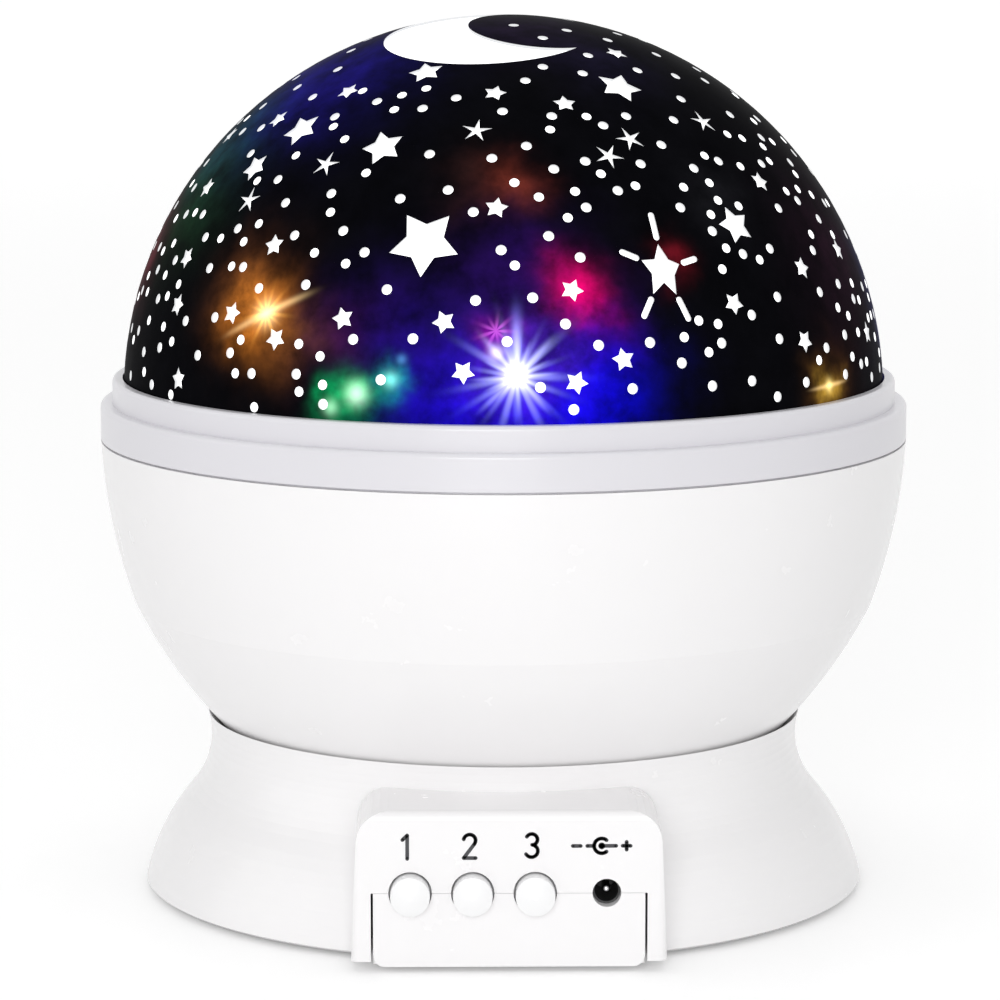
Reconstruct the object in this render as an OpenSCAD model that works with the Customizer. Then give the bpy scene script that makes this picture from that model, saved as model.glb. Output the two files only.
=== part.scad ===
// Star night light projector: a star-pierced dome in a two-step ring, on a bowl that is
// turned by a gear on a flared base with a control block.
// Millimetres. X is to the right of the control panel, Y away from it, Z up. The origin is
// on the resting plane, on the axis that the head turns about.

/* [Dome] */
// Outside radius of the star mask
dome_r = 60.9; // [58:0.1:66]
// Thickness of the opaque star mask
mask_t = 0.4; // [0.3:0.05:0.6]
// Wall of the translucent dome under the mask
dome_t = 1.3; // [1:0.1:2]
// Height of the straight skirt under the half sphere
dome_skirt_h = 4.6; // [3.8:0.1:6]

/* [Star windows] */
// Radius of a dot
dot_r = 0.8; // [0.5:0.05:0.9]
// Places that the dots are spread over, before those on stars are left out
dot_places = 400; // [120:10:440]
// Radius of a small star, at its points
small_star_r = 1.8; // [1.4:0.1:2.2]
// Radius of the largest star, at its points
large_star_r = 5.5; // [4:0.1:6]
// Radius of a star between its points, as a share of that at its points
star_waist = 0.54; // [0.4:0.02:0.6]
// Radius of the crescent's outer edge
moon_r = 16.3; // [15:0.1:18]
// Radius of the crescent's inner edge
moon_bite_r = 10.7; // [9:0.1:11.5]

/* [Trim ring] */
// Width of the ring's upper step, outside the dome
ring_lip_w = 1.8; // [1.4:0.1:3]
// Height of the ring's upper step
ring_lip_h = 3.9; // [2.5:0.1:5]
// Width of the ring's lower step, outside the upper one
ring_step_w = 1.9; // [1.5:0.1:3.5]
// Height of the ring's lower step
ring_step_h = 6; // [4:0.1:7]
// Thickness of the seat that the dome stands on
ring_seat_t = 1.8; // [1.2:0.1:2.4]
// Depth of the ring's spigot inside the bowl
ring_spigot_h = 3; // [2:0.1:3.2]
// Thickness of the spigot
ring_spigot_t = 1.6; // [1.2:0.1:2.4]
// Rounding of the ring's upper edges
ring_edge_r = 0.7; // [0.3:0.1:1]

/* [Bowl] */
// Wall of the bowl
bowl_wall = 2.2; // [1.6:0.1:3]
// Height of the bowl, skirt to rim
bowl_h = 46.6; // [44:0.1:56]
// Radius of curve of the bowl's side
bowl_side_r = 90; // [80:1:160]
// Lean of the bowl's side at its rim, in degrees
bowl_draft = 2.7; // [2:0.1:6]
// Height of the knee above the skirt's lower edge
bowl_knee_h = 20.2; // [18:0.1:26]
// Radius of curve of the bowl's belly, under the knee
bowl_belly_r = 81.5; // [70:0.5:160]
// Thickness of the bowl's floor
bowl_floor_t = 2; // [1.5:0.1:3]
// Outside radius of the hub
hub_r = 10.5; // [9.5:0.1:12]
// Length of the hub's bearing
hub_l = 12; // [8:0.1:16]
// Gussets round the hub
hub_gussets = 6; // [3:1:8]

/* [Reflector dish] */
// Thickness of the dish
dish_t = 1.5; // [1.2:0.1:2]
// Depth of the dish, rim to centre
dish_depth = 6; // [3:0.1:9]
// Height of the dish's rim seat under the bowl's rim
dish_drop = 5; // [4.8:0.1:7]
// Width of the ledge in the bowl that the dish stands on
dish_ledge_w = 2; // [1.5:0.1:3]

/* [Head drive] */
// Gear module
gear_module = 1.2; // [1:0.1:1.3]
// Teeth of the head gear
head_teeth = 36; // [30:1:38]
// Teeth of the drive pinion
pinion_teeth = 12; // [11:1:13]
// Face width of the head gear
gear_w = 3.3; // [2.6:0.1:4]
// Backlash of the gear pair, along the pitch circle
backlash = 0.3; // [0.2:0.05:0.4]
// Direction of the motor from the axis, in degrees
motor_angle = 235; // [225:1:245]
// Radius of the motor's can
motor_r = 7.8; // [6:0.1:8]
// Height of the motor's can
motor_h = 9.6; // [7:0.1:10]
// Height of the gearbox
gearbox_h = 4.2; // [3.5:0.1:4.6]
// Radius of the pinion's shaft
shaft_r = 1.5; // [1.2:0.1:2]

/* [Lamp post] */
// Outside radius of the post
post_r = 7; // [6.5:0.1:7.5]
// Wall of the post
post_wall = 1.8; // [1.4:0.1:2.4]
// Radius of the post's flange
post_flange_r = 12; // [11.5:0.1:14]
// Thickness of the post's flange
post_flange_t = 1.4; // [1.2:0.1:2]
// Thickness of the thrust washer
washer_t = 0.8; // [0.6:0.1:1.2]
// Thickness of the retaining ring
clip_t = 1.5; // [1:0.1:2]
// Radius of the lamp head
lamp_head_r = 14; // [13.2:0.1:16]
// Height of the lamp head's collar
lamp_collar_h = 6; // [4:0.1:8]
// Radius of the lamp board
led_board_r = 12.5; // [11.5:0.1:13]
// Radius of a lamp's lens
led_r = 2.5; // [1.5:0.1:2.6]
// Height of a lamp, base to tip
led_h = 8.6; // [6:0.1:10]
// Distance of each lamp from the middle of its board
led_ring_r = 6; // [5:0.1:8]

/* [Base] */
// Height that the rubber feet hold the base up by
foot_proud = 0.8; // [0.5:0.1:2]
// Height of the base, its lower edge to the deck under the head
base_h = 23.4; // [21:0.1:26]
// Wall of the base
base_wall = 2.2; // [1.8:0.1:3]
// Radius of the base's lower edge
base_foot_r = 58.2; // [55:0.1:61]
// Radius of the base's waist
base_waist_r = 47.4; // [47:0.1:48]
// Height of the waist over the deck
base_waist_h = 0.5; // [0.3:0.1:1.5]
// Height of the base's rim over the waist
base_rim_h = 3.7; // [2:0.1:3.8]
// Radius of the hollow curve under the waist
flare_top_r = 14.6; // [12:0.1:17]
// Radius of the round curve over the lower edge
flare_foot_r = 32; // [28:0.1:50]
// Gap between the turning bowl and the base's rim
head_gap = 0.5; // [0.4:0.05:0.9]
// Height that the head's skirt clears the deck by
skirt_gap = 2; // [1:0.1:2.4]
// Thickness of the bottom cover
cover_t = 2; // [1.8:0.1:3]
// Radius of a rubber foot
foot_r = 5; // [3:0.1:5.4]
// Depth that a rubber foot is let into the cover by
foot_recess = 0.6; // [0.4:0.1:1]

/* [Control block] */
// Distance that the control panel stands out in front of the base's lower edge
panel_proud = 2.7; // [2:0.1:3.2]
// Width of the block at its foot
block_w = 47.4; // [46:0.1:52]
// Width that the block loses by its top
block_taper = 2; // [0:0.1:3]
// Height of the block
block_h = 23.7; // [22.4:0.1:24]
// Rounding of the block's upper corners
block_corner_r = 4.8; // [3:0.1:6]
// Rounding of the block's front edges
block_edge_r = 1.2; // [0.6:0.1:1.6]
// Wall of the panel
panel_t = 2; // [1.6:0.1:2.4]
// Width of the tab between its two slots
tab_w = 41.4; // [40.4:0.1:41.8]
// Width of each slot
slot_w = 0.35; // [0.25:0.05:0.5]
// Height of the buttons' and the inlet's middle over the lower edge
control_h = 11.3; // [10.8:0.1:11.8]
// Place of the first button, across the panel
button_x = -14.8; // [-15.4:0.05:-14.2]
// Distance between buttons
button_pitch = 9.35; // [9.1:0.05:9.6]
// Radius of a button
button_r = 2.95; // [2.6:0.05:3.2]
// Gap round a button
button_gap = 0.3; // [0.2:0.05:0.4]
// Height that a button stands out by
button_proud = 3.1; // [2:0.1:3.6]
// Travel of a button
button_travel = 1.2; // [0.8:0.1:1.5]
// Place of the power inlet, across the panel
inlet_x = 14.6; // [14:0.05:15.2]
// Radius of the inlet's opening in the panel
inlet_r = 2.15; // [2:0.05:2.6]
// Radius of the inlet's bore
jack_bore_r = 1.8; // [1.7:0.05:1.9]
// Radius of the inlet's centre pin
jack_pin_r = 0.65; // [0.4:0.05:0.85]

/* [Batteries] */
// Radius of a cell
cell_r = 5.25; // [5:0.05:5.3]
// Length of a cell, with its button
cell_l = 44.5; // [42:0.1:45]
// Number of cells, side by side
cells = 4; // [2:1:4]
// Distance between cells' middles
cell_pitch = 10.9; // [10.8:0.05:11]
// Place of the battery bay behind the axis
bay_y = 12; // [11:0.1:13]
// Wall of the battery bay
bay_wall = 2; // [1.7:0.1:2.4]
// Room for a contact at each end of the cells
contact_room = 2.2; // [2:0.1:2.8]
// Thickness of the battery door
door_t = 1.8; // [1.6:0.1:1.8]

/* [Hidden] */

fit = 0.15;           // between pieces fixed together
play = 0.3;           // between pieces that move past each other
running = 0.06;       // round a shaft in its bearing
parting = 0.05;       // between the two halves of the panel, across the button holes
through = 1;          // how far a cut runs past a face

fine = 120;           // facets of the large turned pieces
round_n = 96;         // facets of middling rounds
small_n = 32;         // facets of screws and other small rounds

white = [0.96, 0.96, 0.97];
pearl = [0.90, 0.90, 0.93];
steel = [0.75, 0.76, 0.78];

// Heights, from the resting plane up
base_z = foot_proud;
deck_z = base_z + base_h;
deck_t = 2;
waist_z = deck_z + base_waist_h;
rim_z = waist_z + base_rim_h;
flange_z = deck_z + post_flange_t;
gear_z = flange_z + washer_t + play;
floor_z = gear_z + gear_w;
skirt_z = deck_z + skirt_gap;
seam_z = skirt_z + bowl_h;
dome_z = seam_z + ring_seat_t + dome_skirt_h;
hub_z = floor_z + hub_l;
dish_seat_z = seam_z - dish_drop;

// Bowl: the side is one arc from the rim, the belly another from the knee to the neck
ring_lip_r = dome_r + ring_lip_w;
ring_r = ring_lip_r + ring_step_w;
neck_h = 3;           // height over the skirt's lower edge where the bowl leaves the base
neck_proud = 0.4;     // how far the bowl stands out over the waist there
side_c = [ring_r - bowl_side_r * cos(bowl_draft), seam_z + bowl_side_r * sin(bowl_draft)];
knee = [arc_x(side_c, bowl_side_r, skirt_z + bowl_knee_h), skirt_z + bowl_knee_h];
neck = [base_waist_r + neck_proud, skirt_z + neck_h];
belly_c = centre_through(knee, neck, bowl_belly_r);

// Base: a hollow arc under the waist runs into a round one over the foot
hollow_c = [base_waist_r + flare_top_r, waist_z];
foot_edge = [base_foot_r, base_z];
foot_c = tangent_centre(hollow_c, flare_top_r, foot_edge, flare_foot_r);
flare_join = hollow_c + (foot_c - hollow_c) * flare_top_r / (flare_top_r + flare_foot_r);
cover_r = arc_x(foot_c, flare_foot_r - base_wall, base_z + cover_t) - fit;
well_r = arc_x(belly_c, bowl_belly_r, skirt_z) + head_gap;

// Control block
panel_reach = base_foot_r + panel_proud;
block_back = base_waist_r - 2 * base_wall;
control_z = base_z + control_h;
button_places = [for (i = [0:2]) button_x + i * button_pitch];
button_hole_r = button_r + button_gap;
block_lift = 0.8;     // how far the block's sides end over the base's lower edge
panel_in = panel_reach - panel_t;
flange_grip = 0.9;    // how far a button's flange reaches behind the panel
flange_h = 1;         // its thickness
switch_front = panel_in - play - flange_h - button_travel - play;
switch_w = 7;
switch_l = 8;
stem_r = 1.4;
board_t = 1.6;
board_z = control_z - switch_w / 2 - board_t;
board_w = 38.4;
board_back = 34;

// Battery bay
bay_l = cell_l + 2 * contact_room;
bay_w = cells * cell_pitch;
cell_z = base_z + cover_t + play + cell_r;
bay_top = cell_z + cell_r + 0.4;
bay_roof_t = 1.2;
door_lap = 1;         // how far the door laps under the bay's walls
door_axis = [bay_y + bay_w / 2, base_z + door_t / 2];
door_front = bay_y - bay_w / 2 - door_lap + play;
ear_l = 7;            // the tongue at the door's front edge that takes the screw
ear_w = 9;
door_pin_r = 0.6;
door_pin_l = 1.5;

// Screws
screw_r = 1.15;
screw_head_r = 2;
screw_head_t = 1.1;
cover_screw_l = 10;
board_screw_grip = 3;   // length in its post
boss_r = 3.2;
cover_screw_ring = 41.5;
cover_screw_angles = [35, 145, 215, 325];
foot_ring = cover_r - foot_r - 2.4;
foot_angles = [45, 135, 225, 315];
post_screw_ring = 9.4;
gear_screw_ring = 16;
clip_groove = 0.4;      // depth of the retaining ring's groove in the post

// Lamps
post_top_z = dish_seat_z - 3.6;
lamp_head_t = 1.6;
led_board_z = post_top_z + lamp_head_t;
led_board_t = 1.6;
led_z = led_board_z + led_board_t;
wire_r = 0.9;
wire_bend = 1.6;
wire_y = 36;
wire_z = deck_z - deck_t - wire_r - play;

// Motor
motor_d = gear_module * (head_teeth + pinion_teeth) / 2;
motor_xy = motor_d * [cos(motor_angle), sin(motor_angle)];
gearbox_z = deck_z - deck_t - gearbox_h;
motor_ear = 9.6;      // from the shaft to each fixing screw
gearbox_w = 13;

// X of an arc's right side at height z, or of its left side
function arc_x(c, r, z, side = 1) = c[0] + side * sqrt(r * r - (z - c[1]) * (z - c[1]));
// Points along an arc's side from one height to another
function arc_run(c, r, from, to, n, side = 1) =
  [for (i = [0:n]) let (z = from + (to - from) * i / n) [arc_x(c, r, z, side), z]];
// Centre of the arc of radius r through p and q, on the side towards the axis
function centre_through(p, q, r) = let (h = norm(q - p) / 2, d = (q - p) / (2 * h))
  (p + q) / 2 + sqrt(r * r - h * h) * [d[1], -d[0]];
// Centre of an arc of radius s through p that meets the circle c, r from outside
function tangent_centre(c, r, p, s) = let (d = norm(p - c), u = (p - c) / d,
  a = (pow(r + s, 2) - s * s + d * d) / (2 * d), h = sqrt(pow(r + s, 2) - a * a))
  c + a * u + h * [u[1], -u[0]];
// Outline with its corners rounded: one radius for each point
function corner(a, b, c, r, n = 6) = let (u = (a - b) / norm(a - b), v = (c - b) / norm(c - b),
  half = acos(u * v) / 2, m = b + (u + v) / norm(u + v) * r / sin(half),
  p = b + u * r / tan(half) - m, q = b + v * r / tan(half) - m,
  from = atan2(p[1], p[0]), sweep = (atan2(q[1], q[0]) - from + 540) % 360 - 180)
  [for (i = [0:n]) m + r * [cos(from + sweep * i / n), sin(from + sweep * i / n)]];
function rounded(points, radii) = let (n = len(points)) [for (i = [0:n - 1])
  each radii[i] == 0 ? [points[i]] :
    corner(points[(i + n - 1) % n], points[i], points[(i + 1) % n], radii[i])];
// Star outline: tip radius r, inner radius r * waist
function star(r, waist) = [for (i = [0:9]) (i % 2 == 0 ? r : r * waist)
  * [cos(90 + 36 * i), sin(90 + 36 * i)]];
// Unit vector at an azimuth from the panel's side, to the right, and an elevation
function sky(az, el) = [sin(az) * cos(el), -cos(az) * cos(el), sin(el)];

module turned(facets = fine) {
  rotate_extrude($fn = facets) children();
}

module box(low, high) {
  translate(low) cube(high - low);
}

// A screw pointing up from z = 0, its head below
module screw(l, r = screw_r, head_r = screw_head_r, head_t = screw_head_t) {
  difference() {
    union() {
      translate([0, 0, -head_t]) cylinder(h = head_t, r = head_r, $fn = small_n);
      cylinder(h = l, r = r, $fn = small_n);
    }
    translate([0, 0, -head_t - through]) cross_slot(head_r * 0.6, through + head_t / 2);
  }
}

module cross_slot(reach, h) {
  for (a = [0, 90]) rotate([0, 0, a])
    translate([-reach, -0.25, 0]) cube([2 * reach, 0.5, h]);
}

module round_about(ring_r, angles) {
  for (a = angles) rotate([0, 0, a]) translate([ring_r, 0, 0]) children();
}

// Places children on the dome, facing out
module on_sky(az, el) {
  translate([0, 0, dome_z]) rotate([0, 0, az - 90]) rotate([0, 90 - el, 0])
    rotate([0, 0, 90]) children();
}

// ---------------------------------------------------------------- dome cover

// Stars as azimuth, elevation, size as a share of the largest, and turn, in degrees
LARGE_STARS = [[-13.5, 29, 1, 36], [-25.5, 44.5, 0.61, 25], [-49, 47, 0.6, 45],
  [-55, 39.5, 0.46, 47], [-24.5, 61, 0.5, 25], [31.5, 57, 0.66, 38], [41, 30.5, 0.58, 11],
  [102, 38, 0.7, 0],
  [128, 60, 0.5, 20], [150, 28, 0.9, -12], [188, 50, 0.6, 10], [214, 24, 0.7, 0],
  [238, 46, 0.5, 16]];
SMALL_STARS = [[-60.5, 48.5], [-44.5, 55.5], [-68, 35], [-40.5, 27.5], [-62, 24], [-60, 17],
  [-45.5, 17], [-36, 14], [-25, 17.5], [-9.5, 17.5], [-6.5, 10.5], [-56, 6.5], [44, 66],
  [-3, 56], [14, 53.5], [-2, 34.5], [53, 37], [53.5, 23], [36, 19], [49.5, 12.5], [69, 24.5],
  [71.5, 11.5], [9.5, 22], [16.5, 12], [9.5, 9], [88, 40], [92, 55], [118, 18], [140, 44],
  [168, 16], [172, 38], [200, 34], [228, 12], [250, 30], [262, 14], [280, 44]];
SLIM_STARS = [[-36.5, 41, -5], [-51, 34, 7], [-6.5, 48, -6], [20, 43, 40], [26, 46, 13],
  [48.5, 48.5, -6], [112, 50, 10], [160, 58, 25], [222, 62, -15], [268, 26, 5]];
SPOKED_STARS = [[24.5, 24.5], [184, 22]];
// Uneven points of a spoked star: direction, length of its point, start and end of its spoke
SPOKES = [[15, 3, 3.4, 6.4], [89, 4.1, 4.7, 9.3], [152, 3.6, 4, 7.2], [238, 4.3, 4.8, 8.5],
  [291, 4.2, 4.6, 8.6]];
MOON_AT = [-2.6, -10.7];     // middle of the crescent's outer edge, seen from above
MOON_BITE_AT = [5, -10.8];   // middle of its inner edge
golden = 137.508;
spoke_w = 0.95;
spoke_notch_r = 2;           // radius of a spoked star between its points
slim_star_r = 2.4;
slim_waist = 0.26;

// How much sky a window needs: its direction and its radius with a margin
STAR_ROOM = concat(
  [for (s = LARGE_STARS) [sky(s[0], s[1]), s[2] * large_star_r]],
  [for (s = SMALL_STARS) [sky(s[0], s[1]), small_star_r]],
  [for (s = SLIM_STARS) [sky(s[0], s[1]), slim_star_r]],
  [for (s = SPOKED_STARS) [sky(s[0], s[1]), max([for (k = SPOKES) k[3]])]]);
dot_margin = 0.7;
function clear_of_stars(p) = min([for (s = STAR_ROOM) norm(p - s[0]) * dome_r - s[1]])
  > dot_r + dot_margin && clear_of_moon(dome_r * [p[0], p[1]]);
function clear_of_moon(q) = norm(q - MOON_AT) > moon_r + dot_r + dot_margin
  || norm(q - MOON_BITE_AT) < moon_bite_r - dot_r - dot_margin;
// Dots lie on a golden-angle spiral, each shifted a little up or down by its number
function dot_at(i) = let (el = asin(0.04 + 0.94 * (i + 0.5) / dot_places)
  + 1.4 * sin(i * 77)) [i * golden + 2.5 * sin(i * 53), el];
DOTS = [for (i = [0:dot_places - 1]) let (d = dot_at(i))
  if (d[1] > 4.5 && clear_of_stars(sky(d[0], d[1]))) d];

// Places a flat shape on the dome, as a cut through the mask
module window(az, el, turn = 0) {
  on_sky(az, el) translate([0, 0, dome_r - mask_t - through]) rotate([0, 0, turn])
    linear_extrude(mask_t + 2 * through) children();
}

module star_windows() {
  for (s = LARGE_STARS) window(s[0], s[1], s[3]) polygon(star(s[2] * large_star_r, star_waist));
  for (s = SMALL_STARS) window(s[0], s[1], s[0] * 5) polygon(star(small_star_r, star_waist));
  for (s = SLIM_STARS) window(s[0], s[1], s[2]) polygon(star(slim_star_r, slim_waist));
  for (s = SPOKED_STARS) window(s[0], s[1]) spoked_star();
  for (d = DOTS) window(d[0], d[1]) circle(dot_r, $fn = small_n);
}

// A small uneven star with a round-ended slot beyond each of its points
module spoked_star() {
  n = len(SPOKES);
  polygon([for (i = [0:n - 1]) let (next = SPOKES[(i + 1) % n][0] + (i == n - 1 ? 360 : 0))
    each [polar(SPOKES[i][1], SPOKES[i][0]), polar(spoke_notch_r, (SPOKES[i][0] + next) / 2)]]);
  for (k = SPOKES) rotate(k[0]) {
    translate([k[2] + spoke_w / 2, -spoke_w / 2]) square([k[3] - k[2] - spoke_w, spoke_w]);
    for (x = [k[2] + spoke_w / 2, k[3] - spoke_w / 2]) translate([x, 0])
      circle(spoke_w / 2, $fn = small_n);
  }
}

module star_mask() {
  color([0.03, 0.03, 0.05]) difference() {
    turned() translate([0, dome_z]) dome_section(dome_r, mask_t);
    star_windows();
    translate([0, 0, dome_z + dome_r * 0.7]) linear_extrude(dome_r) difference() {
      translate(MOON_AT) circle(moon_r, $fn = round_n);
      translate(MOON_BITE_AT) circle(moon_bite_r, $fn = round_n);
    }
  }
}

// Half section of a dome with a straight skirt, its centre at the origin
module dome_section(r, t) {
  difference() {
    union() {
      intersection() {
        circle(r, $fn = fine);
        square(r + through);
      }
      translate([0, -dome_skirt_h]) square([r, dome_skirt_h]);
    }
    circle(r - t, $fn = fine);
    translate([-through, -dome_skirt_h - through])
      square([r - t + through, dome_skirt_h + through]);
    translate([-2 * r, -2 * r]) square([2 * r, 4 * r]);
  }
}

module dome_shell() {
  color([0.95, 0.96, 1, 0.8]) turned() translate([0, dome_z])
    dome_section(dome_r - mask_t, dome_t);
}

module trim_ring() {
  seat_in = dome_r - mask_t - dome_t - 1;
  socket_r = dome_r + fit;
  spigot_r = arc_x(side_c, bowl_side_r - bowl_wall, seam_z - ring_spigot_h) - play;
  spigot_in = spigot_r - ring_spigot_t;
  step_top = seam_z + ring_step_h;
  top = step_top + ring_lip_h;
  e = ring_edge_r;
  groove_h = 0.35;      // the shadow line over the bowl's rim
  groove_r = ring_r - 0.9;
  color(pearl) turned() polygon(rounded(
    [[spigot_in, seam_z - ring_spigot_h], [spigot_r, seam_z - ring_spigot_h],
      [spigot_r, seam_z], [groove_r, seam_z], [groove_r, seam_z + groove_h],
      [ring_r, seam_z + groove_h], [ring_r, step_top], [ring_lip_r, step_top],
      [ring_lip_r, top], [socket_r, top], [socket_r, seam_z + ring_seat_t],
      [seat_in, seam_z + ring_seat_t], [seat_in, seam_z], [spigot_in, seam_z - through]],
    [0, 0, 0, 0, 0, 0, e, 0, e, 0, 0, 0, 0, 0]));
}

// ---------------------------------------------------------------- turning head

// Everything inside the bowl's outside, or inside its wall. The belly's arc bounds it up to
// the knee only, so that a wider waist leaves the room for the dish and the ring as it is
module bowl_region(inset) {
  intersection() {
    translate(side_c) circle(bowl_side_r - inset, $fn = 2 * fine);
    union() {
      translate(belly_c) circle(bowl_belly_r - inset, $fn = 2 * fine);
      translate([0, knee[1] + bowl_wall]) square([2 * ring_r, 2 * seam_z]);
    }
    square([2 * ring_r, 2 * seam_z]);
  }
}

module bowl() {
  gear_room_r = arc_x(belly_c, bowl_belly_r, skirt_z) - 1.4 * bowl_wall;
  ledge_z = dish_seat_z - 1.8;
  color(white) difference() {
    union() {
      turned() difference() {
        intersection() {
          bowl_region(0);
          translate([0, skirt_z]) square([2 * ring_r, bowl_h]);
        }
        difference() {
          intersection() {
            bowl_region(bowl_wall);
            translate([0, floor_z + bowl_floor_t]) square([2 * ring_r, bowl_h]);
          }
          difference() {
            translate([0, ledge_z]) square([2 * ring_r, dish_seat_z - ledge_z]);
            square([dish_rim_r() + fit - dish_ledge_w, dish_seat_z + through]);
          }
        }
        translate([0, skirt_z - through])
          square([gear_room_r, floor_z - skirt_z + through]);
      }
      translate([0, 0, floor_z]) cylinder(h = hub_l, r = hub_r, $fn = round_n);
      for (i = [0:hub_gussets - 1]) rotate([0, 0, 30 + 360 * i / hub_gussets])
        hub_gusset();
    }
    translate([0, 0, floor_z - through])
      cylinder(h = hub_l + 2 * through, r = post_r + running, $fn = round_n);
    round_about(gear_screw_ring, [45:90:315]) translate([0, 0, floor_z - through])
      cylinder(h = bowl_floor_t + 2 * through, r = screw_r + 0.05, $fn = small_n);
  }
}

module hub_gusset() {
  t = 1.5;
  rotate([90, 0, 0]) translate([0, 0, -t / 2]) linear_extrude(t)
    polygon([[hub_r - 1, floor_z + bowl_floor_t / 2], [3 * hub_r, floor_z + bowl_floor_t / 2],
      [3 * hub_r, floor_z + bowl_floor_t + 1], [hub_r - 1, hub_z - 2]]);
}

// Radius of the dish's rim, inside the bowl's wall at its seat
function dish_rim_r() = arc_x(side_c, bowl_side_r - bowl_wall, dish_seat_z) - fit;

module reflector_dish() {
  rim_r = dish_rim_r();
  slope_r = rim_r - 3.5;
  hole_r = lamp_head_r + 1.5;
  low = dish_seat_z - dish_depth;
  color(white) turned() polygon(rounded(
    [[hole_r, low + 3], [hole_r, low], [hole_r + 3.5, low], [slope_r, dish_seat_z],
      [rim_r, dish_seat_z], [rim_r, dish_seat_z + dish_t], [slope_r - 1, dish_seat_z + dish_t],
      [hole_r + 4, low + dish_t], [hole_r + dish_t, low + dish_t], [hole_r + dish_t, low + 3]],
    [0, 0, 1.5, 3, 0, 0.5, 3, 1.5, 0, 0]));
}

// Involute tooth outline. The flank starts at the root and ends at the tip
pressure_angle = 20;
function involute(rb, r) = let (t = sqrt(pow(r / rb, 2) - 1)) t * 180 / PI - atan(t);
function flank(teeth, r, slack) = let (rp = gear_module * teeth / 2,
  rb = rp * cos(pressure_angle), q = max(r, rb))
  90 / teeth - slack * 90 / (PI * rp) + involute(rb, rp) - involute(rb, q);
function gear_outline(teeth, slack) = let (rp = gear_module * teeth / 2,
  root = rp - 1.25 * gear_module, tip = rp + gear_module,
  radii = [for (i = [0:3]) max(root, rp * cos(pressure_angle)) + (tip -
    max(root, rp * cos(pressure_angle))) * i / 3])
  [for (k = [0:teeth - 1]) let (m = 360 * k / teeth) each concat(
    [polar(root, m - flank(teeth, root, slack))],
    [for (r = radii) polar(r, m - flank(teeth, r, slack))],
    [for (i = [3:-1:0]) polar(radii[i], m + flank(teeth, radii[i], slack))],
    [polar(root, m + flank(teeth, root, slack))])];
function polar(r, a) = r * [cos(a), sin(a)];

module head_gear() {
  color([0.93, 0.92, 0.88]) translate([0, 0, gear_z]) difference() {
    rotate([0, 0, motor_angle]) linear_extrude(gear_w)
      polygon(gear_outline(head_teeth, backlash / 2));
    translate([0, 0, -through])
      cylinder(h = gear_w + 2 * through, r = post_r + play, $fn = round_n);
    round_about(gear_screw_ring, [45:90:315]) {
      translate([0, 0, -through])
        cylinder(h = gear_w + 2 * through, r = screw_r + fit, $fn = small_n);
      translate([0, 0, -through])
        cylinder(h = screw_head_t + fit + through, r = screw_head_r + fit, $fn = small_n);
    }
  }
}

module gear_screws() {
  color(steel) round_about(gear_screw_ring, [45:90:315])
    translate([0, 0, gear_z + screw_head_t + fit]) screw(gear_w);
}

module drive_pinion() {
  turn = 180 + motor_angle + 180 / pinion_teeth;
  color([0.93, 0.92, 0.88]) translate([motor_xy[0], motor_xy[1], gear_z]) difference() {
    rotate([0, 0, turn]) linear_extrude(gear_w - play)
      polygon(gear_outline(pinion_teeth, backlash / 2));
    translate([0, 0, -through]) cylinder(h = gear_w + 2 * through, r = shaft_r, $fn = small_n);
  }
}

module output_shaft() {
  color(steel) translate([motor_xy[0], motor_xy[1], gearbox_z + 1])
    cylinder(h = gear_z + gear_w - play - gearbox_z - 1, r = shaft_r, $fn = small_n);
}

// ---------------------------------------------------------------- drive in the base

module at_motor(z) {
  translate([motor_xy[0], motor_xy[1], z]) rotate([0, 0, motor_angle]) children();
}

module gearbox_case() {
  ear = motor_ear + boss_r;
  color([0.85, 0.85, 0.80]) at_motor(gearbox_z) difference() {
    linear_extrude(gearbox_h) polygon(rounded(
      [[-gearbox_w / 2, -ear], [gearbox_w / 2, -ear], [gearbox_w / 2, ear],
        [-gearbox_w / 2, ear]], [3, 3, 3, 3]));
    translate([0, 0, 1])
      cylinder(h = gearbox_h, r = shaft_r + running, $fn = small_n);
    for (s = [-1, 1]) translate([0, s * motor_ear, -through])
      cylinder(h = gearbox_h + 2 * through, r = screw_r - 0.1, $fn = small_n);
  }
}

module motor_can() {
  color(steel) at_motor(gearbox_z - motor_h) turned(round_n) polygon(rounded(
    [[0, 0], [motor_r, 0], [motor_r, motor_h], [0, motor_h]], [0, 0.8, 0, 0]));
}

module motor_screws() {
  color(steel) for (s = [-1, 1]) at_motor(deck_z) translate([0, s * motor_ear, 0])
    mirror([0, 0, 1]) screw(deck_t + gearbox_h - 1, r = screw_r - 0.15);
}

// ---------------------------------------------------------------- lamp post

module lamp_post() {
  clip_z = hub_z + play;
  color(white) difference() {
    turned(round_n) polygon(
      [[post_r - post_wall, deck_z - deck_t], [post_r, deck_z - deck_t], [post_r, deck_z],
        [post_flange_r, deck_z], [post_flange_r, flange_z], [post_r, flange_z],
        [post_r, clip_z], [post_r - clip_groove, clip_z],
        [post_r - clip_groove, clip_z + clip_t], [post_r, clip_z + clip_t],
        [post_r, post_top_z], [post_r - post_wall, post_top_z]]);
    round_about(post_screw_ring, [90:120:330]) translate([0, 0, deck_z - through])
      cylinder(h = post_flange_t + 2 * through, r = screw_r - 0.1, $fn = small_n);
  }
}

module post_screws() {
  color(steel) round_about(post_screw_ring, [90:120:330])
    translate([0, 0, deck_z - deck_t]) screw(deck_t + post_flange_t, r = screw_r - 0.15);
}

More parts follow.
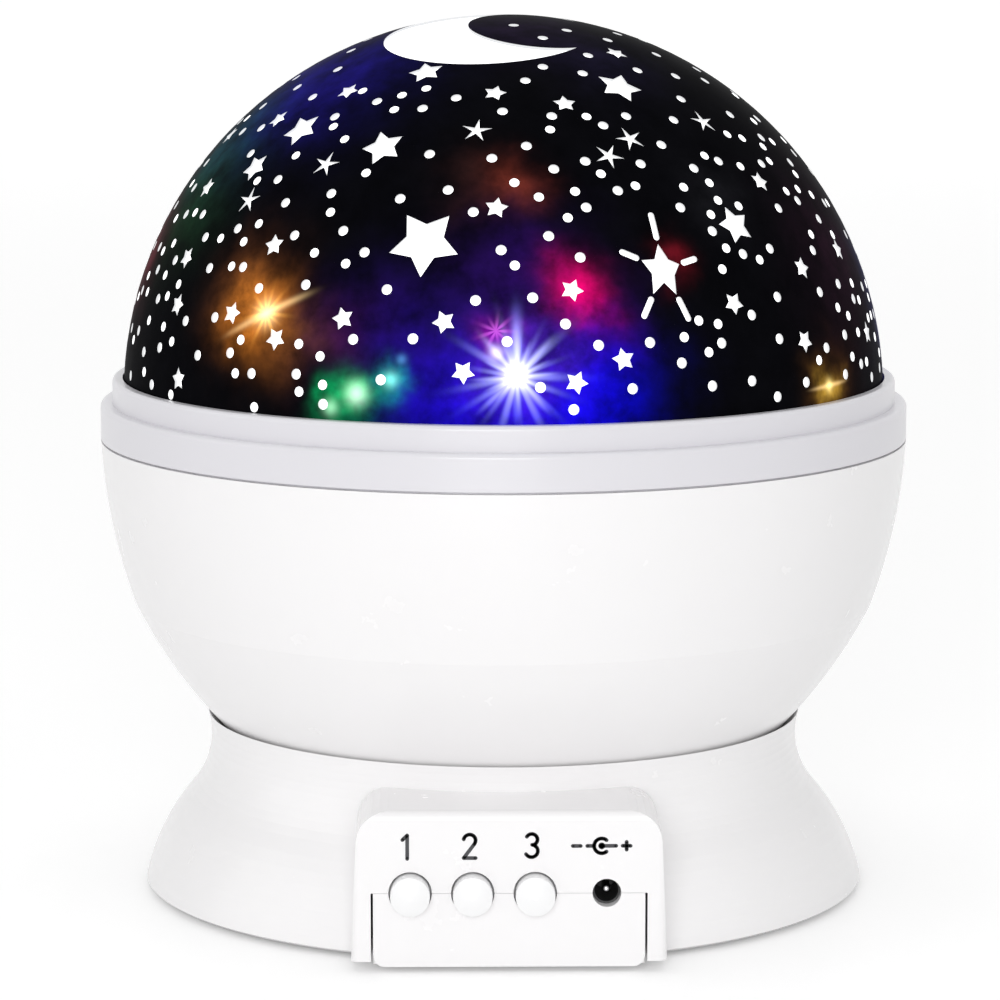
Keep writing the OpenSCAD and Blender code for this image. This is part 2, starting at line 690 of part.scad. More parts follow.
module thrust_washer() {
  color([0.2, 0.2, 0.22]) translate([0, 0, flange_z]) difference() {
    cylinder(h = washer_t, r = post_flange_r - 0.5, $fn = round_n);
    translate([0, 0, -through])
      cylinder(h = washer_t + 2 * through, r = post_r + fit, $fn = round_n);
  }
}

module retaining_ring() {
  color(steel) translate([0, 0, hub_z + play]) difference() {
    cylinder(h = clip_t, r = hub_r - 1, $fn = round_n);
    translate([0, 0, -through])
      cylinder(h = clip_t + 2 * through, r = post_r - clip_groove, $fn = round_n);
    translate([0, -2.5, -through]) cube([2 * hub_r, 5, clip_t + 2 * through]);
  }
}

module lamp_head() {
  color(white) difference() {
    union() {
      translate([0, 0, post_top_z])
        cylinder(h = lamp_head_t, r = lamp_head_r, $fn = round_n);
      translate([0, 0, post_top_z - lamp_collar_h])
        cylinder(h = lamp_collar_h, r = post_r + 2, $fn = round_n);
      turned(round_n) difference() {
        translate([0, led_board_z - through])
          square([lamp_head_r, led_board_t + through]);
        translate([-through, led_board_z - 2 * through])
          square([led_board_r + fit + through, led_board_t + 4 * through]);
      }
    }
    translate([0, 0, post_top_z - lamp_collar_h - through])
      cylinder(h = lamp_collar_h + through, r = post_r + 0.05, $fn = round_n);
    translate([0, 0, post_top_z - through])
      cylinder(h = lamp_head_t + 2 * through, r = 2 * wire_r, $fn = small_n);
  }
}

module led_board() {
  color([0.94, 0.95, 0.94]) translate([0, 0, led_board_z])
    cylinder(h = led_board_t, r = led_board_r, $fn = round_n);
}

// One lamp: a flange, a straight body and a round tip
module lamp(i, tint) {
  flange = led_r + 0.4;
  color(tint) rotate([0, 0, 45 + 90 * i]) translate([led_ring_r, 0, led_z])
    turned(round_n) {
      square([flange, 1]);
      square([led_r, led_h - led_r]);
      translate([0, led_h - led_r]) intersection() {
        circle(led_r, $fn = round_n);
        square(led_r);
      }
    }
}

module led_wires() {
  foot_z = board_z + board_t;
  color([0.75, 0.1, 0.1]) {
    translate([0, 0, wire_z + wire_bend])
      cylinder(h = led_board_z - wire_z - wire_bend, r = wire_r, $fn = small_n);
    translate([0, -wire_bend, wire_z + wire_bend]) rotate([0, 90, 0])
      rotate_extrude(angle = 90, $fn = small_n) translate([wire_bend, 0])
        circle(wire_r, $fn = small_n);
    translate([0, -wire_bend, wire_z]) rotate([90, 0, 0])
      cylinder(h = wire_y - 2 * wire_bend, r = wire_r, $fn = small_n);
    translate([0, wire_bend - wire_y, wire_z - wire_bend]) rotate([0, -90, 0])
      rotate([0, 0, -90]) rotate_extrude(angle = 90, $fn = small_n)
        translate([wire_bend, 0]) circle(wire_r, $fn = small_n);
    translate([0, -wire_y, foot_z])
      cylinder(h = wire_z - wire_bend - foot_z, r = wire_r, $fn = small_n);
  }
}

// ---------------------------------------------------------------- base

// Half outline of the base: its outer face, or its wall's inner face, up to a height
function base_outline(inset, top) = let (
  join = flare_join + inset * (foot_c - hollow_c) / norm(foot_c - hollow_c))
  concat([[0, base_z]],
    arc_run(foot_c, flare_foot_r - inset, base_z, join[1], 8),
    arc_run(hollow_c, flare_top_r + inset, join[1] + 0.4, top, 10, -1), [[0, top]]);

module base_casing() {
  chamfer = 0.7;
  turned() difference() {
    polygon(base_outline(0, rim_z));
    polygon([[base_foot_r - chamfer, base_z], [base_foot_r - chamfer, base_z - through],
      [base_foot_r + through, base_z - through], [base_foot_r + through, base_z + 1.5 * chamfer]]);
  }
}

// The well that the head turns in, with its rim cut to follow the bowl
module head_well() {
  rim_top = neck[1] + neck_h + through;
  turned() polygon(concat([[0, deck_z], [well_r, deck_z]],
    arc_run(belly_c, bowl_belly_r + head_gap, skirt_z, rim_top, 5), [[0, rim_top]]));
}

// Block outline across the panel: its foot, and its rounded upper corners
function block_outline() = let (w = block_w / 2, t = w - block_taper / 2, r = block_corner_r,
  foot = base_z + block_lift, top = base_z + block_h)
  rounded([[-w, foot], [w, foot], [t, top], [-t, top]], [0, 0, r, r]);

module control_block() {
  e = block_edge_r;
  top = base_z + block_h;
  intersection() {
    translate([0, -block_back, 0]) rotate([90, 0, 0])
      linear_extrude(panel_reach - block_back) polygon(block_outline());
    rotate([90, 0, 90]) linear_extrude(2 * block_w, center = true) polygon(rounded(
      [[-panel_reach, base_z], [0, base_z], [0, top], [-panel_reach, top]], [0, 0, 0, e]));
    linear_extrude(2 * top) polygon(rounded(
      [[-block_w / 2, 0], [-block_w / 2, -panel_reach], [block_w / 2, -panel_reach],
        [block_w / 2, 0]], [0, e, e, 0]));
  }
}

module button_holes() {
  for (x = button_places) translate([x, through - panel_in, control_z]) rotate([90, 0, 0])
    cylinder(h = panel_t + 2 * through, r = button_hole_r, $fn = round_n);
  translate([inlet_x, through - panel_in, control_z]) rotate([90, 0, 0])
    cylinder(h = panel_t + 2 * through, r = inlet_r, $fn = round_n);
}

module base_shell() {
  under = base_z - through;
  inner_top = base_z + block_h - panel_t;
  room = tab_w / 2;
  boss_foot = base_z + cover_t;
  color(white) difference() {
    union() {
      difference() {
        union() {
          base_casing();
          control_block();
        }
        turned() polygon(base_outline(base_wall, deck_z - deck_t));
        translate([0, 0, under]) cylinder(h = 2 * through, r = cover_r + fit, $fn = fine);
        box([-room, -panel_in, under], [room, -block_back + 8, deck_z - deck_t]);
        box([-room, -panel_in, under], [room, -base_waist_r - base_wall, inner_top]);
      }
      round_about(cover_screw_ring, cover_screw_angles) translate([0, 0, boss_foot])
        cylinder(h = deck_z - deck_t - boss_foot + 0.5, r = boss_r, $fn = small_n);
    }
    head_well();
    box([-room, -panel_reach - through, under], [room, -panel_in + through, control_z]);
    button_holes();
    round_about(cover_screw_ring, cover_screw_angles) translate([0, 0, base_z])
      cylinder(h = cover_screw_l + 3, r = screw_r + 0.05, $fn = small_n);
    translate([0, 0, deck_z - deck_t - through])
      cylinder(h = deck_t + 2 * through, r = post_r + fit, $fn = round_n);
    round_about(post_screw_ring, [90:120:330]) translate([0, 0, deck_z - deck_t - through])
      cylinder(h = deck_t + 2 * through, r = screw_r + 0.1, $fn = small_n);
    at_motor(deck_z - deck_t - through) {
      cylinder(h = deck_t + 2 * through, r = 2 * shaft_r, $fn = small_n);
      for (s = [-1, 1]) translate([0, s * motor_ear, 0])
        cylinder(h = deck_t + 2 * through, r = screw_r + 0.1, $fn = small_n);
    }
  }
}

module bottom_cover() {
  top = base_z + cover_t;
  tab = tab_w / 2 - slot_w;
  bay_x = bay_l / 2 + bay_wall;
  bay_half = bay_w / 2 + bay_wall;
  open_x = bay_l / 2 + door_lap;
  open_back = door_axis[0] + door_t / 2 + play;
  open_front = bay_y - bay_w / 2 - door_lap;
  ear_end = open_front - ear_l;
  color(white) difference() {
    union() {
      translate([0, 0, base_z]) cylinder(h = cover_t, r = cover_r, $fn = fine);
      box([-tab, -panel_in - fit, base_z], [tab, -block_back, top]);
      tab_plate(tab);
      box([-bay_x, bay_y - bay_half, base_z],
        [bay_x, bay_y + bay_half, bay_top + bay_roof_t]);
      box([-ear_w / 2 - 1.5, ear_end - 1.5, base_z],
        [ear_w / 2 + 1.5, bay_y - bay_w / 2, top + 4.6]);
      board_posts();
    }
    box([-bay_l / 2, bay_y - bay_w / 2, base_z - through],
      [bay_l / 2, bay_y + bay_w / 2, bay_top]);
    box([-open_x, open_front, base_z - through], [open_x, open_back, top]);
    box([-ear_w / 2 - play, ear_end - play, base_z - through],
      [ear_w / 2 + play, open_front + 0.01, top]);
    translate([0, ear_end + ear_l / 2, top - through])
      cylinder(h = 4, r = screw_r, $fn = small_n);
    for (s = [-1, 1]) translate([s * (open_x + door_pin_l / 2), door_axis[0], door_axis[1]])
      rotate([0, 90, 0]) cylinder(h = door_pin_l + 0.6, r = door_pin_r + running, center = true,
        $fn = small_n);
    button_holes();
    round_about(cover_screw_ring, cover_screw_angles) {
      translate([0, 0, base_z - through])
        cylinder(h = cover_t + 2 * through, r = screw_r + fit, $fn = small_n);
      translate([0, 0, base_z - through])
        cylinder(h = screw_head_t + through, r = screw_head_r + fit, $fn = small_n);
    }
    round_about(foot_ring, foot_angles) translate([0, 0, base_z - through])
      cylinder(h = foot_recess + through, r = foot_r + 0.05, $fn = round_n);
    for (p = board_post_places()) translate([p[0], p[1], top])
      cylinder(h = board_z, r = screw_r - 0.1, $fn = small_n);
  }
}

// The lower half of the panel, which stands up between the two slots
module tab_plate(tab) {
  e = 1.8;
  top = control_z - parting;
  translate([0, -panel_in, 0]) rotate([90, 0, 0]) linear_extrude(panel_t) polygon(rounded(
    [[-tab, base_z], [tab, base_z], [tab, top], [-tab, top]], [e, e, 0, 0]));
}

function board_post_places() = [for (s = [-1, 1]) [s * (board_w / 2 - 3), -board_back - 3]];

// Two posts take the board's screws, and two ribs hold it up under the switches
module board_posts() {
  post_r = 2.4;
  rib_t = 2;
  rib_l = 3;
  rib_front = 3 - switch_front;
  for (p = board_post_places()) translate([p[0], p[1], base_z])
    cylinder(h = board_z - base_z, r = post_r, $fn = small_n);
  for (x = [-board_w / 4, board_w / 4]) box([x - rib_t / 2, rib_front, base_z],
    [x + rib_t / 2, rib_front + rib_l, board_z]);
}

module cover_screws() {
  color(steel) round_about(cover_screw_ring, cover_screw_angles)
    translate([0, 0, base_z + screw_head_t]) screw(cover_screw_l);
}

module rubber_feet() {
  color([0.55, 0.55, 0.57]) round_about(foot_ring, foot_angles)
    turned(round_n) polygon(rounded([[0, 0], [foot_r, 0],
      [foot_r, base_z + foot_recess], [0, base_z + foot_recess]], [0, 0.4, 0, 0]));
}

// ---------------------------------------------------------------- controls

module control_board() {
  color([0.1, 0.45, 0.2]) difference() {
    box([-board_w / 2, -switch_front, board_z], [board_w / 2, -board_back, board_z + board_t]);
    for (p = board_post_places()) translate([p[0], p[1], board_z - through])
      cylinder(h = board_t + 2 * through, r = screw_r + fit, $fn = small_n);
  }
}

module board_screws() {
  color(steel) for (p = board_post_places()) translate([p[0], p[1], board_z + board_t])
    mirror([0, 0, 1]) screw(board_t + board_screw_grip, r = screw_r - 0.15);
}

module switch_bodies() {
  color([0.15, 0.15, 0.16]) for (x = button_places) difference() {
    box([x - switch_w / 2, -switch_front, control_z - switch_w / 2],
      [x + switch_w / 2, -switch_front + switch_l, control_z + switch_w / 2]);
    translate([x, -switch_front - through, control_z]) rotate([-90, 0, 0])
      cylinder(h = switch_l - 1 + through, r = stem_r + running, $fn = small_n);
  }
}

// Cap with a domed face and a flange that keeps it behind the panel
module button(x) {
  back = panel_in - play - flange_h;
  l = panel_reach + button_proud - back;
  dome = 0.6;
  face_r = (button_r * button_r + dome * dome) / (2 * dome);
  color(white) translate([x, -back, control_z]) rotate([90, 0, 0]) turned(round_n) {
    square([button_r + flange_grip, flange_h]);
    intersection() {
      square([button_r, l]);
      translate([0, l - face_r]) circle(face_r, $fn = fine);
    }
  }
}

// Stem that joins a cap to its switch
module switch_stem(x) {
  back = panel_in - play - flange_h;
  l = button_travel + play + 3.5;
  color([0.9, 0.9, 0.85]) translate([x, -back, control_z]) rotate([-90, 0, 0])
    cylinder(h = l, r = stem_r, $fn = small_n);
}

module dc_jack() {
  w = 7;
  l = 10;
  color([0.05, 0.05, 0.05]) difference() {
    union() {
      box([inlet_x - w / 2, -switch_front, control_z - w / 2],
        [inlet_x + w / 2, l - switch_front, control_z + w / 2]);
      translate([inlet_x, -switch_front + through, control_z]) rotate([90, 0, 0])
        cylinder(h = panel_in - switch_front + through, r = w / 2 - 0.3, $fn = round_n);
    }
    translate([inlet_x, -jack_floor(), control_z]) rotate([90, 0, 0])
      cylinder(h = l + through, r = jack_bore_r, $fn = round_n);
  }
}

function jack_floor() = panel_in - 9;

module jack_pin() {
  l = 8;
  color(steel) translate([inlet_x, -jack_floor(), control_z]) rotate([90, 0, 0]) {
    cylinder(h = l, r = jack_pin_r, $fn = small_n);
    translate([0, 0, l]) sphere(jack_pin_r, $fn = small_n);
  }
}

// ---------------------------------------------------------------- batteries

module each_cell() {
  for (i = [0:cells - 1]) translate([0, bay_y + (i - (cells - 1) / 2) * cell_pitch, cell_z])
    mirror([i % 2, 0, 0]) children();
}

module battery_cells() {
  nub_r = 1.9;
  nub_l = 1;
  color([0.3, 0.35, 0.4]) each_cell() translate([-cell_l / 2, 0, 0]) rotate([0, 90, 0])
    turned(round_n) union() {
      polygon(rounded([[0, 0], [cell_r, 0], [cell_r, cell_l - nub_l], [0, cell_l - nub_l]],
        [0, 0.4, 0.4, 0]));
      square([nub_r, cell_l]);
    }
}

// At each end a bent leaf presses on the cell from the bay's wall
module battery_contacts() {
  t = 0.3;
  w = 6;
  reach = contact_room;
  leaf = 4;             // from the leaf's middle to each end
  bend = 3;             // and to each bend
  pinch = 0.2;          // how much nearer the bend is on the leaf's back
  color(steel) each_cell() for (s = [-1, 1]) translate([s * bay_l / 2, 0, 0])
    mirror([s > 0 ? 1 : 0, 0, 0]) rotate([90, 0, 0]) translate([0, 0, -w / 2])
      linear_extrude(w) polygon([[0, -leaf], [t, -leaf], [t, -bend], [reach, 0], [t, bend],
        [t, leaf], [0, leaf], [0, bend - pinch], [reach - 1.4 * t, 0], [0, pinch - bend]]);
}

module battery_door() {
  x = bay_l / 2 + door_lap - play;
  top = base_z + door_t;
  ear_front = bay_y - bay_w / 2 - door_lap - ear_l;
  color(white) difference() {
    union() {
      box([-x, door_front, base_z], [x, door_axis[0], top]);
      box([-ear_w / 2, ear_front, base_z], [ear_w / 2, door_front + 0.01, top]);
      translate([0, door_axis[0], door_axis[1]]) rotate([0, 90, 0]) {
        cylinder(h = 2 * x, r = door_t / 2, center = true, $fn = small_n);
        cylinder(h = 2 * (x + play + door_pin_l), r = door_pin_r, center = true, $fn = small_n);
      }
    }
    translate([0, ear_front + ear_l / 2, base_z - through]) {
      cylinder(h = door_t + 2 * through, r = screw_r + 0.05, $fn = small_n);
      cylinder(h = through + 0.9, r = screw_head_r + fit, $fn = small_n);
    }
    // Grooves for a thumb to open the door
    for (i = [0:3]) box([-8, bay_y - 3 + 2.4 * i, base_z - through],
      [8, bay_y - 2 + 2.4 * i, base_z + 0.5]);
  }
}

module door_screw() {
  color(steel) translate([0, bay_y - bay_w / 2 - door_lap - ear_l / 2, base_z + 0.9])
    screw(cover_t + 1.2, r = screw_r - 0.15, head_t = 0.8);
}

star_mask();
dome_shell();
trim_ring();
bowl();
head_gear();
gear_screws();
reflector_dish();
drive_pinion();
output_shaft();
gearbox_case();
motor_can();
motor_screws();
lamp_post();
post_screws();
thrust_washer();
retaining_ring();
lamp_head();
led_board();
lamp(0, [1, 1, 0.9]);  // led_white
lamp(1, [0.9, 0.1, 0.1]);  // led_red
lamp(2, [0.1, 0.8, 0.2]);  // led_green
lamp(3, [0.1, 0.2, 0.9]);  // led_blue
led_wires();
base_shell();
bottom_cover();
cover_screws();
rubber_feet();
control_board();
board_screws();
switch_bodies();
button(button_places[0]);  // button_1
button(button_places[1]);  // button_2
button(button_places[2]);  // button_3
switch_stem(button_places[0]);  // switch_stem_1
switch_stem(button_places[1]);  // switch_stem_2
switch_stem(button_places[2]);  // switch_stem_3
dc_jack();
jack_pin();
battery_cells();
battery_contacts();
battery_door();
door_screw();
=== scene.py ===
# %% [markdown]
# # A star night light projector, dressed for the studio
#
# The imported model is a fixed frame: every moulding, gear and screw is already there, in
# metres, where it belongs. This lesson gives each of them its finish, adds the few printed
# marks, and sets the table, the lamps and the camera. The most work goes into the dome: a
# black skin pierced with stars, on which the lamps inside play in blue, gold and green.

import math
import random

import bpy
from mathutils import Euler, Matrix, Vector
from mathutils.bvhtree import BVHTree


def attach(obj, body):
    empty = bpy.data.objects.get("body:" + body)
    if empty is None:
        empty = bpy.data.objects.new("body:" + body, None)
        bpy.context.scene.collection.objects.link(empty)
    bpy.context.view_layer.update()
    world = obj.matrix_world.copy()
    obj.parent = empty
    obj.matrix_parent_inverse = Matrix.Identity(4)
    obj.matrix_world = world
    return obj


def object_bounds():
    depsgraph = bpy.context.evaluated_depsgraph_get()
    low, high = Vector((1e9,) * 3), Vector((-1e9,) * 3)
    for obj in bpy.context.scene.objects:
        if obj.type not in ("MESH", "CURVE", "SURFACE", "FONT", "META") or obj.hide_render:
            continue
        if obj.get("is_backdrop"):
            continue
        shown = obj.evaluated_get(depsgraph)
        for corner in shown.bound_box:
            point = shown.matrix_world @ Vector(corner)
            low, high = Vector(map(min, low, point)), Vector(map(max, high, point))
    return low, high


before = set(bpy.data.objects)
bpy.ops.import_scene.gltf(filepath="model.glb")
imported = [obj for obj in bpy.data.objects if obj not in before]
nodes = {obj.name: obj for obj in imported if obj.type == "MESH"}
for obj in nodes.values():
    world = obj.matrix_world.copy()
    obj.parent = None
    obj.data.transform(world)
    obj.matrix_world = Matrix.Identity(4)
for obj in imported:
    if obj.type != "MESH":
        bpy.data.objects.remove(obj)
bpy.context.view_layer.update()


def corners():
    """The whole object's lowest and highest corner, as plain lists."""
    return [list(corner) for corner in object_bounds()]


# %% [markdown]
# ## The camera
#
# The picture was taken from far off with a long lens, a little above the dome's middle and
# tilted down at it, so that the ring's front edge bows downward. A short lens close by
# would give the same size in the frame, but a much rounder bow. The object's axis stands
# upright in the picture, a hair to the right of its middle.

# %% Camera
MM = 0.001
camera_away = 685.1 * MM
camera_up = 169.0 * MM
camera_tilt = math.radians(8.875)   # down from level
camera_side = math.radians(-0.8)    # round to the object's left

camera_data = bpy.data.cameras.new("studio camera")
camera_data.lens = 154.5
camera_data.sensor_width = 36
camera_data.shift_x = -0.0035
camera_data.clip_start = 0.05
camera_data.clip_end = 60
camera = bpy.data.objects.new("studio camera", camera_data)
bpy.context.scene.collection.objects.link(camera)
stand = Vector((camera_away * math.sin(camera_side), -camera_away * math.cos(camera_side),
                camera_up))
aim = Euler((math.pi / 2 - camera_tilt, 0, camera_side)).to_matrix().to_4x4()
camera.matrix_world = Matrix.Translation(stand) @ aim
bpy.context.scene.camera = camera
bpy.context.scene.view_settings.view_transform = "Standard"
print("camera at", [round(v, 4) for v in stand], "lens", camera_data.lens)

# %% [markdown]
# ## Nodes without the clutter
#
# Materials are trees of nodes, and a tree that is written out line by line is hard to read.
# Three small helpers keep it short: one places a node and fills or joins its inputs, one
# does sums on numbers, and one does sums on vectors and colours.

# %% Helpers for node trees
def put(tree, kind, settings=None, inputs=None):
    """Places a node. An input is set where it is given a value, and joined to a socket."""
    node = tree.nodes.new(kind)
    for name, value in (settings or {}).items():
        setattr(node, name, value)
    for name, value in (inputs or {}).items():
        if isinstance(value, bpy.types.NodeSocket):
            tree.links.new(value, node.inputs[name])
        else:
            node.inputs[name].default_value = value
    return node


def calc(tree, operation, *values):
    """The result of one sum on numbers."""
    node = put(tree, "ShaderNodeMath", {"operation": operation}, dict(enumerate(values)))
    return node.outputs[0]


def vec(tree, operation, *values):
    """The result of one sum on vectors, or on colours."""
    node = put(tree, "ShaderNodeVectorMath", {"operation": operation}, dict(enumerate(values)))
    return node.outputs["Value" if operation in ("LENGTH", "DISTANCE", "DOT_PRODUCT") else "Vector"]


def scaled(tree, vector, factor):
    """A vector or a colour times a number."""
    return put(tree, "ShaderNodeVectorMath", {"operation": "SCALE"},
               {"Vector": vector, "Scale": factor}).outputs["Vector"]


def group(name, inputs, outputs):
    """A new shader node group with named sockets, and its two end nodes."""
    tree = bpy.data.node_groups.new(name, "ShaderNodeTree")
    for label, kind, value in inputs:
        socket = tree.interface.new_socket(label, in_out="INPUT", socket_type="NodeSocket" + kind)
        socket.default_value = value
    for label, kind in outputs:
        tree.interface.new_socket(label, in_out="OUTPUT", socket_type="NodeSocket" + kind)
    return tree, tree.nodes.new("NodeGroupInput"), tree.nodes.new("NodeGroupOutput")


def use(tree, inner, inputs=None):
    """A placed copy of a group, with its inputs set or joined."""
    return put(tree, "ShaderNodeGroup", {"node_tree": inner}, inputs)


def grey(level):
    """A neutral colour, from a number as the shader counts it."""
    return (level, level, level, 1)


print("node helpers ready")

# %% [markdown]
# ## Moulded skin
#
# Glossy white plastic looks flat and false when its colour is one number. A real moulding
# has a tone that drifts a little from gate to rim, a faint orange peel that softens what it
# mirrors, and gloss that varies where hands have been. All three come from noise at their
# own sizes: tens of millimetres for the drift, a few for the gloss, and about one for the
# peel. It is a group, because every plastic piece here has it, each with its own values.

# %% Group: moulded skin
drift_scale = 26.0    # waves in a metre
gloss_scale = 140.0

skin, skin_in, skin_out = group(
    "moulded skin",
    [("Colour", "Color", grey(0.8)), ("Drift", "Float", 0.03), ("Gloss", "Float", 0.3),
     ("Gloss Spread", "Float", 0.08), ("Peel Size", "Float", 900)],
    [("Colour", "Color"), ("Roughness", "Float"), ("Height", "Float")])


def own_place(tree):
    """The place on the object, in its own space."""
    return put(tree, "ShaderNodeTexCoord").outputs["Object"]


def noise(tree, place, scale, detail=2.0, roughness=0.5):
    """Soft noise from 0 to 1."""
    node = put(tree, "ShaderNodeTexNoise", None,
               {"Vector": place, "Scale": scale, "Detail": detail, "Roughness": roughness})
    return node.outputs["Fac"]


where = own_place(skin)
drift = calc(skin, "SUBTRACT", noise(skin, where, drift_scale, 3.0), 0.5)
shade = calc(skin, "MULTIPLY_ADD", drift, skin_in.outputs["Drift"], 1.0)
tinted = scaled(skin, skin_in.outputs["Colour"], shade)
patches = calc(skin, "SUBTRACT", noise(skin, where, gloss_scale, 4.0, 0.6), 0.5)
gloss = calc(skin, "MULTIPLY_ADD", patches,
             skin_in.outputs["Gloss Spread"], skin_in.outputs["Gloss"])
peel = noise(skin, where, skin_in.outputs["Peel Size"], 1.0)
skin.links.new(tinted, skin_out.inputs["Colour"])
skin.links.new(gloss, skin_out.inputs["Roughness"])
skin.links.new(peel, skin_out.inputs["Height"])
print("group", skin.name, "has", len(skin.nodes), "nodes")

# %% [markdown]
# ## Fine scuffs
#
# Steel, chrome and dark plastic show hairlines from use and from the tools that made them.
# They could be painted, but two sets of noise, each drawn out long in one direction and cut
# off high, give broken hairlines in any number. The group puts out only the mask, from 0 to
# 1, and each material decides what a scuff does to it.

# %% Group: fine scuffs
scuff_from, scuff_full = 0.66, 0.74    # where the noise starts to count, and counts in full

scuffs, scuffs_in, scuffs_out = group(
    "fine scuffs",
    [("Fineness", "Float", 300.0), ("Amount", "Float", 0.5)],
    [("Mask", "Float")])
where = own_place(scuffs)


def hairlines(tree, stretch, turn):
    """Noise drawn out along one direction, turned about an upright axis."""
    node = put(tree, "ShaderNodeMapping", None,
               {"Vector": where, "Rotation": (0.3, 0.2, turn), "Scale": stretch})
    return noise(tree, node.outputs["Vector"], scuffs_in.outputs["Fineness"], 2.0)


lines = calc(scuffs, "MAXIMUM",
             hairlines(scuffs, (1, 0.04, 1), 0.5), hairlines(scuffs, (0.05, 1, 1), -0.9))
edge = put(scuffs, "ShaderNodeMapRange", None,
           {"Value": lines, "From Min": scuff_from, "From Max": scuff_full})
mask = calc(scuffs, "MULTIPLY", edge.outputs["Result"], scuffs_in.outputs["Amount"])
scuffs.links.new(mask, scuffs_out.inputs["Mask"])
print("group", scuffs.name, "has", len(scuffs.nodes), "nodes")

# %% [markdown]
# ## Plastics
#
# Most of the object is injection-moulded: the bowl and the base in a clean glossy white,
# the ring in a slightly cooler pearl, the gears and the dish in plainer grades. They differ
# in colour, gloss and peel, not in kind, so one function makes them all.

# %% The plastics
def material(name):
    """A new material, its tree, and its Principled shader."""
    made = bpy.data.materials.new(name)
    made.use_nodes = True
    return made, made.node_tree, made.node_tree.nodes["Principled BSDF"]


def feed(tree, shader, joins):
    """Joins sockets to the shader's inputs by name."""
    for name, socket in joins.items():
        tree.links.new(socket, shader.inputs[name])


def bump(tree, shader, height, strength, distance):
    """Raises the surface by a height, in metres at most."""
    node = put(tree, "ShaderNodeBump", None,
               {"Height": height, "Strength": strength, "Distance": distance})
    tree.links.new(node.outputs["Normal"], shader.inputs["Normal"])


def mould(tree, shader, colour, gloss, spread, drift, peel):
    """Joins a moulded skin's colour and gloss to the shader, and gives back its height."""
    face = use(tree, skin, {"Colour": (*colour, 1), "Drift": drift, "Gloss": gloss,
                            "Gloss Spread": spread, "Peel Size": peel})
    feed(tree, shader, {"Base Color": face.outputs["Colour"],
                        "Roughness": face.outputs["Roughness"]})
    return face.outputs["Height"]


def plastic(name, colour, gloss=0.3, spread=0.08, drift=0.03, peel=900.0, peel_depth=0.25,
            coat=0.0):
    """A moulded plastic."""
    made, tree, shader = material(name)
    height = mould(tree, shader, colour, gloss, spread, drift, peel)
    bump(tree, shader, height, peel_depth, 0.02 * MM)
    shader.inputs["IOR"].default_value = 1.5
    shader.inputs["Coat Weight"].default_value = coat
    shader.inputs["Coat Roughness"].default_value = 0.08
    return made


finishes = {
    "casing": plastic("glossy white casing", (0.87, 0.86, 0.865), gloss=0.26, coat=0.2),
    "ring": plastic("pearl ring", (0.70, 0.69, 0.725), drift=0.02, coat=0.15),
    "button": plastic("white button", (0.88, 0.88, 0.885), peel=1200.0),
    "dish": plastic("matt white dish", (0.84, 0.84, 0.83), gloss=0.55, spread=0.1, peel=500.0),
    "gear": plastic("milky gear plastic", (0.74, 0.72, 0.66), gloss=0.42, spread=0.12, drift=0.06),
    "washer": plastic("black washer", (0.03, 0.03, 0.032), gloss=0.5, spread=0.15),
    "black": plastic("black switch plastic", (0.02, 0.02, 0.022), gloss=0.38, spread=0.12),
    "lamp board": plastic("white board lacquer", (0.82, 0.83, 0.82), gloss=0.4, spread=0.1,
                          peel=1500.0),
    "board": plastic("green board lacquer", (0.015, 0.16, 0.06), gloss=0.32, spread=0.15,
                     drift=0.25, peel=1500.0),
    "wire": plastic("red wire jacket", (0.5, 0.02, 0.02), gloss=0.45, spread=0.1),
    "rubber": plastic("grey rubber foot", (0.30, 0.30, 0.31), gloss=0.8, spread=0.12,
                      drift=0.12, peel=1400.0, peel_depth=0.6),
    "cell": plastic("cell jacket", (0.16, 0.20, 0.24), gloss=0.34, spread=0.1, drift=0.1),
    "ink": plastic("grey ink", (0.045, 0.045, 0.05), gloss=0.55, spread=0.1, drift=0.15,
                   peel=1500.0),
}
print("plastics:", ", ".join(sorted(finishes)))

# %% [markdown]
# ## Metals
#
# The screws, the shaft and the motor's can are steel, and the inlet's pin and the battery
# springs are chrome over brass. A metal's look is nearly all reflection, so the scuffs go
# into its roughness and only a little into its colour.

# %% The metals
scuff_rough, scuff_dark = 0.3, 0.25    # what a full scuff adds to roughness, takes off colour


def metal(name, colour, gloss, fineness, amount):
    """A metal with hairlines."""
    made, tree, shader = material(name)
    face = use(tree, skin, {"Colour": (*colour, 1), "Drift": 0.12, "Gloss": gloss,
                            "Gloss Spread": 0.15, "Peel Size": 1500.0})
    worn = use(tree, scuffs, {"Fineness": fineness, "Amount": amount}).outputs["Mask"]
    rough = calc(tree, "MULTIPLY_ADD", worn, scuff_rough, face.outputs["Roughness"])
    dull = calc(tree, "MULTIPLY_ADD", worn, -scuff_dark, 1.0)
    feed(tree, shader, {"Base Color": scaled(tree, face.outputs["Colour"], dull),
                        "Roughness": rough})
    bump(tree, shader, face.outputs["Height"], 0.15, 0.01 * MM)
    shader.inputs["Metallic"].default_value = 1.0
    return made


finishes["steel"] = metal("brushed steel", (0.56, 0.57, 0.58), 0.3, 420.0, 0.8)
finishes["chrome"] = metal("bright chrome", (0.78, 0.78, 0.8), 0.14, 600.0, 0.4)
print("metals: steel, chrome")

# %% [markdown]
# ## Coloured light on the dome
#
# The lamps shine up from the bowl, and through the dome's skin they show as pools of blue,
# a gold flare, green and crimson spots and one starburst in front. They turn with the dome,
# so they belong to the skin and not to the lamps of this scene. Lamps placed inside would
# give noise and little control. Instead each pool is drawn by its distance from a place on
# the dome and each ray by its distance from a line, and both are added to what is there.

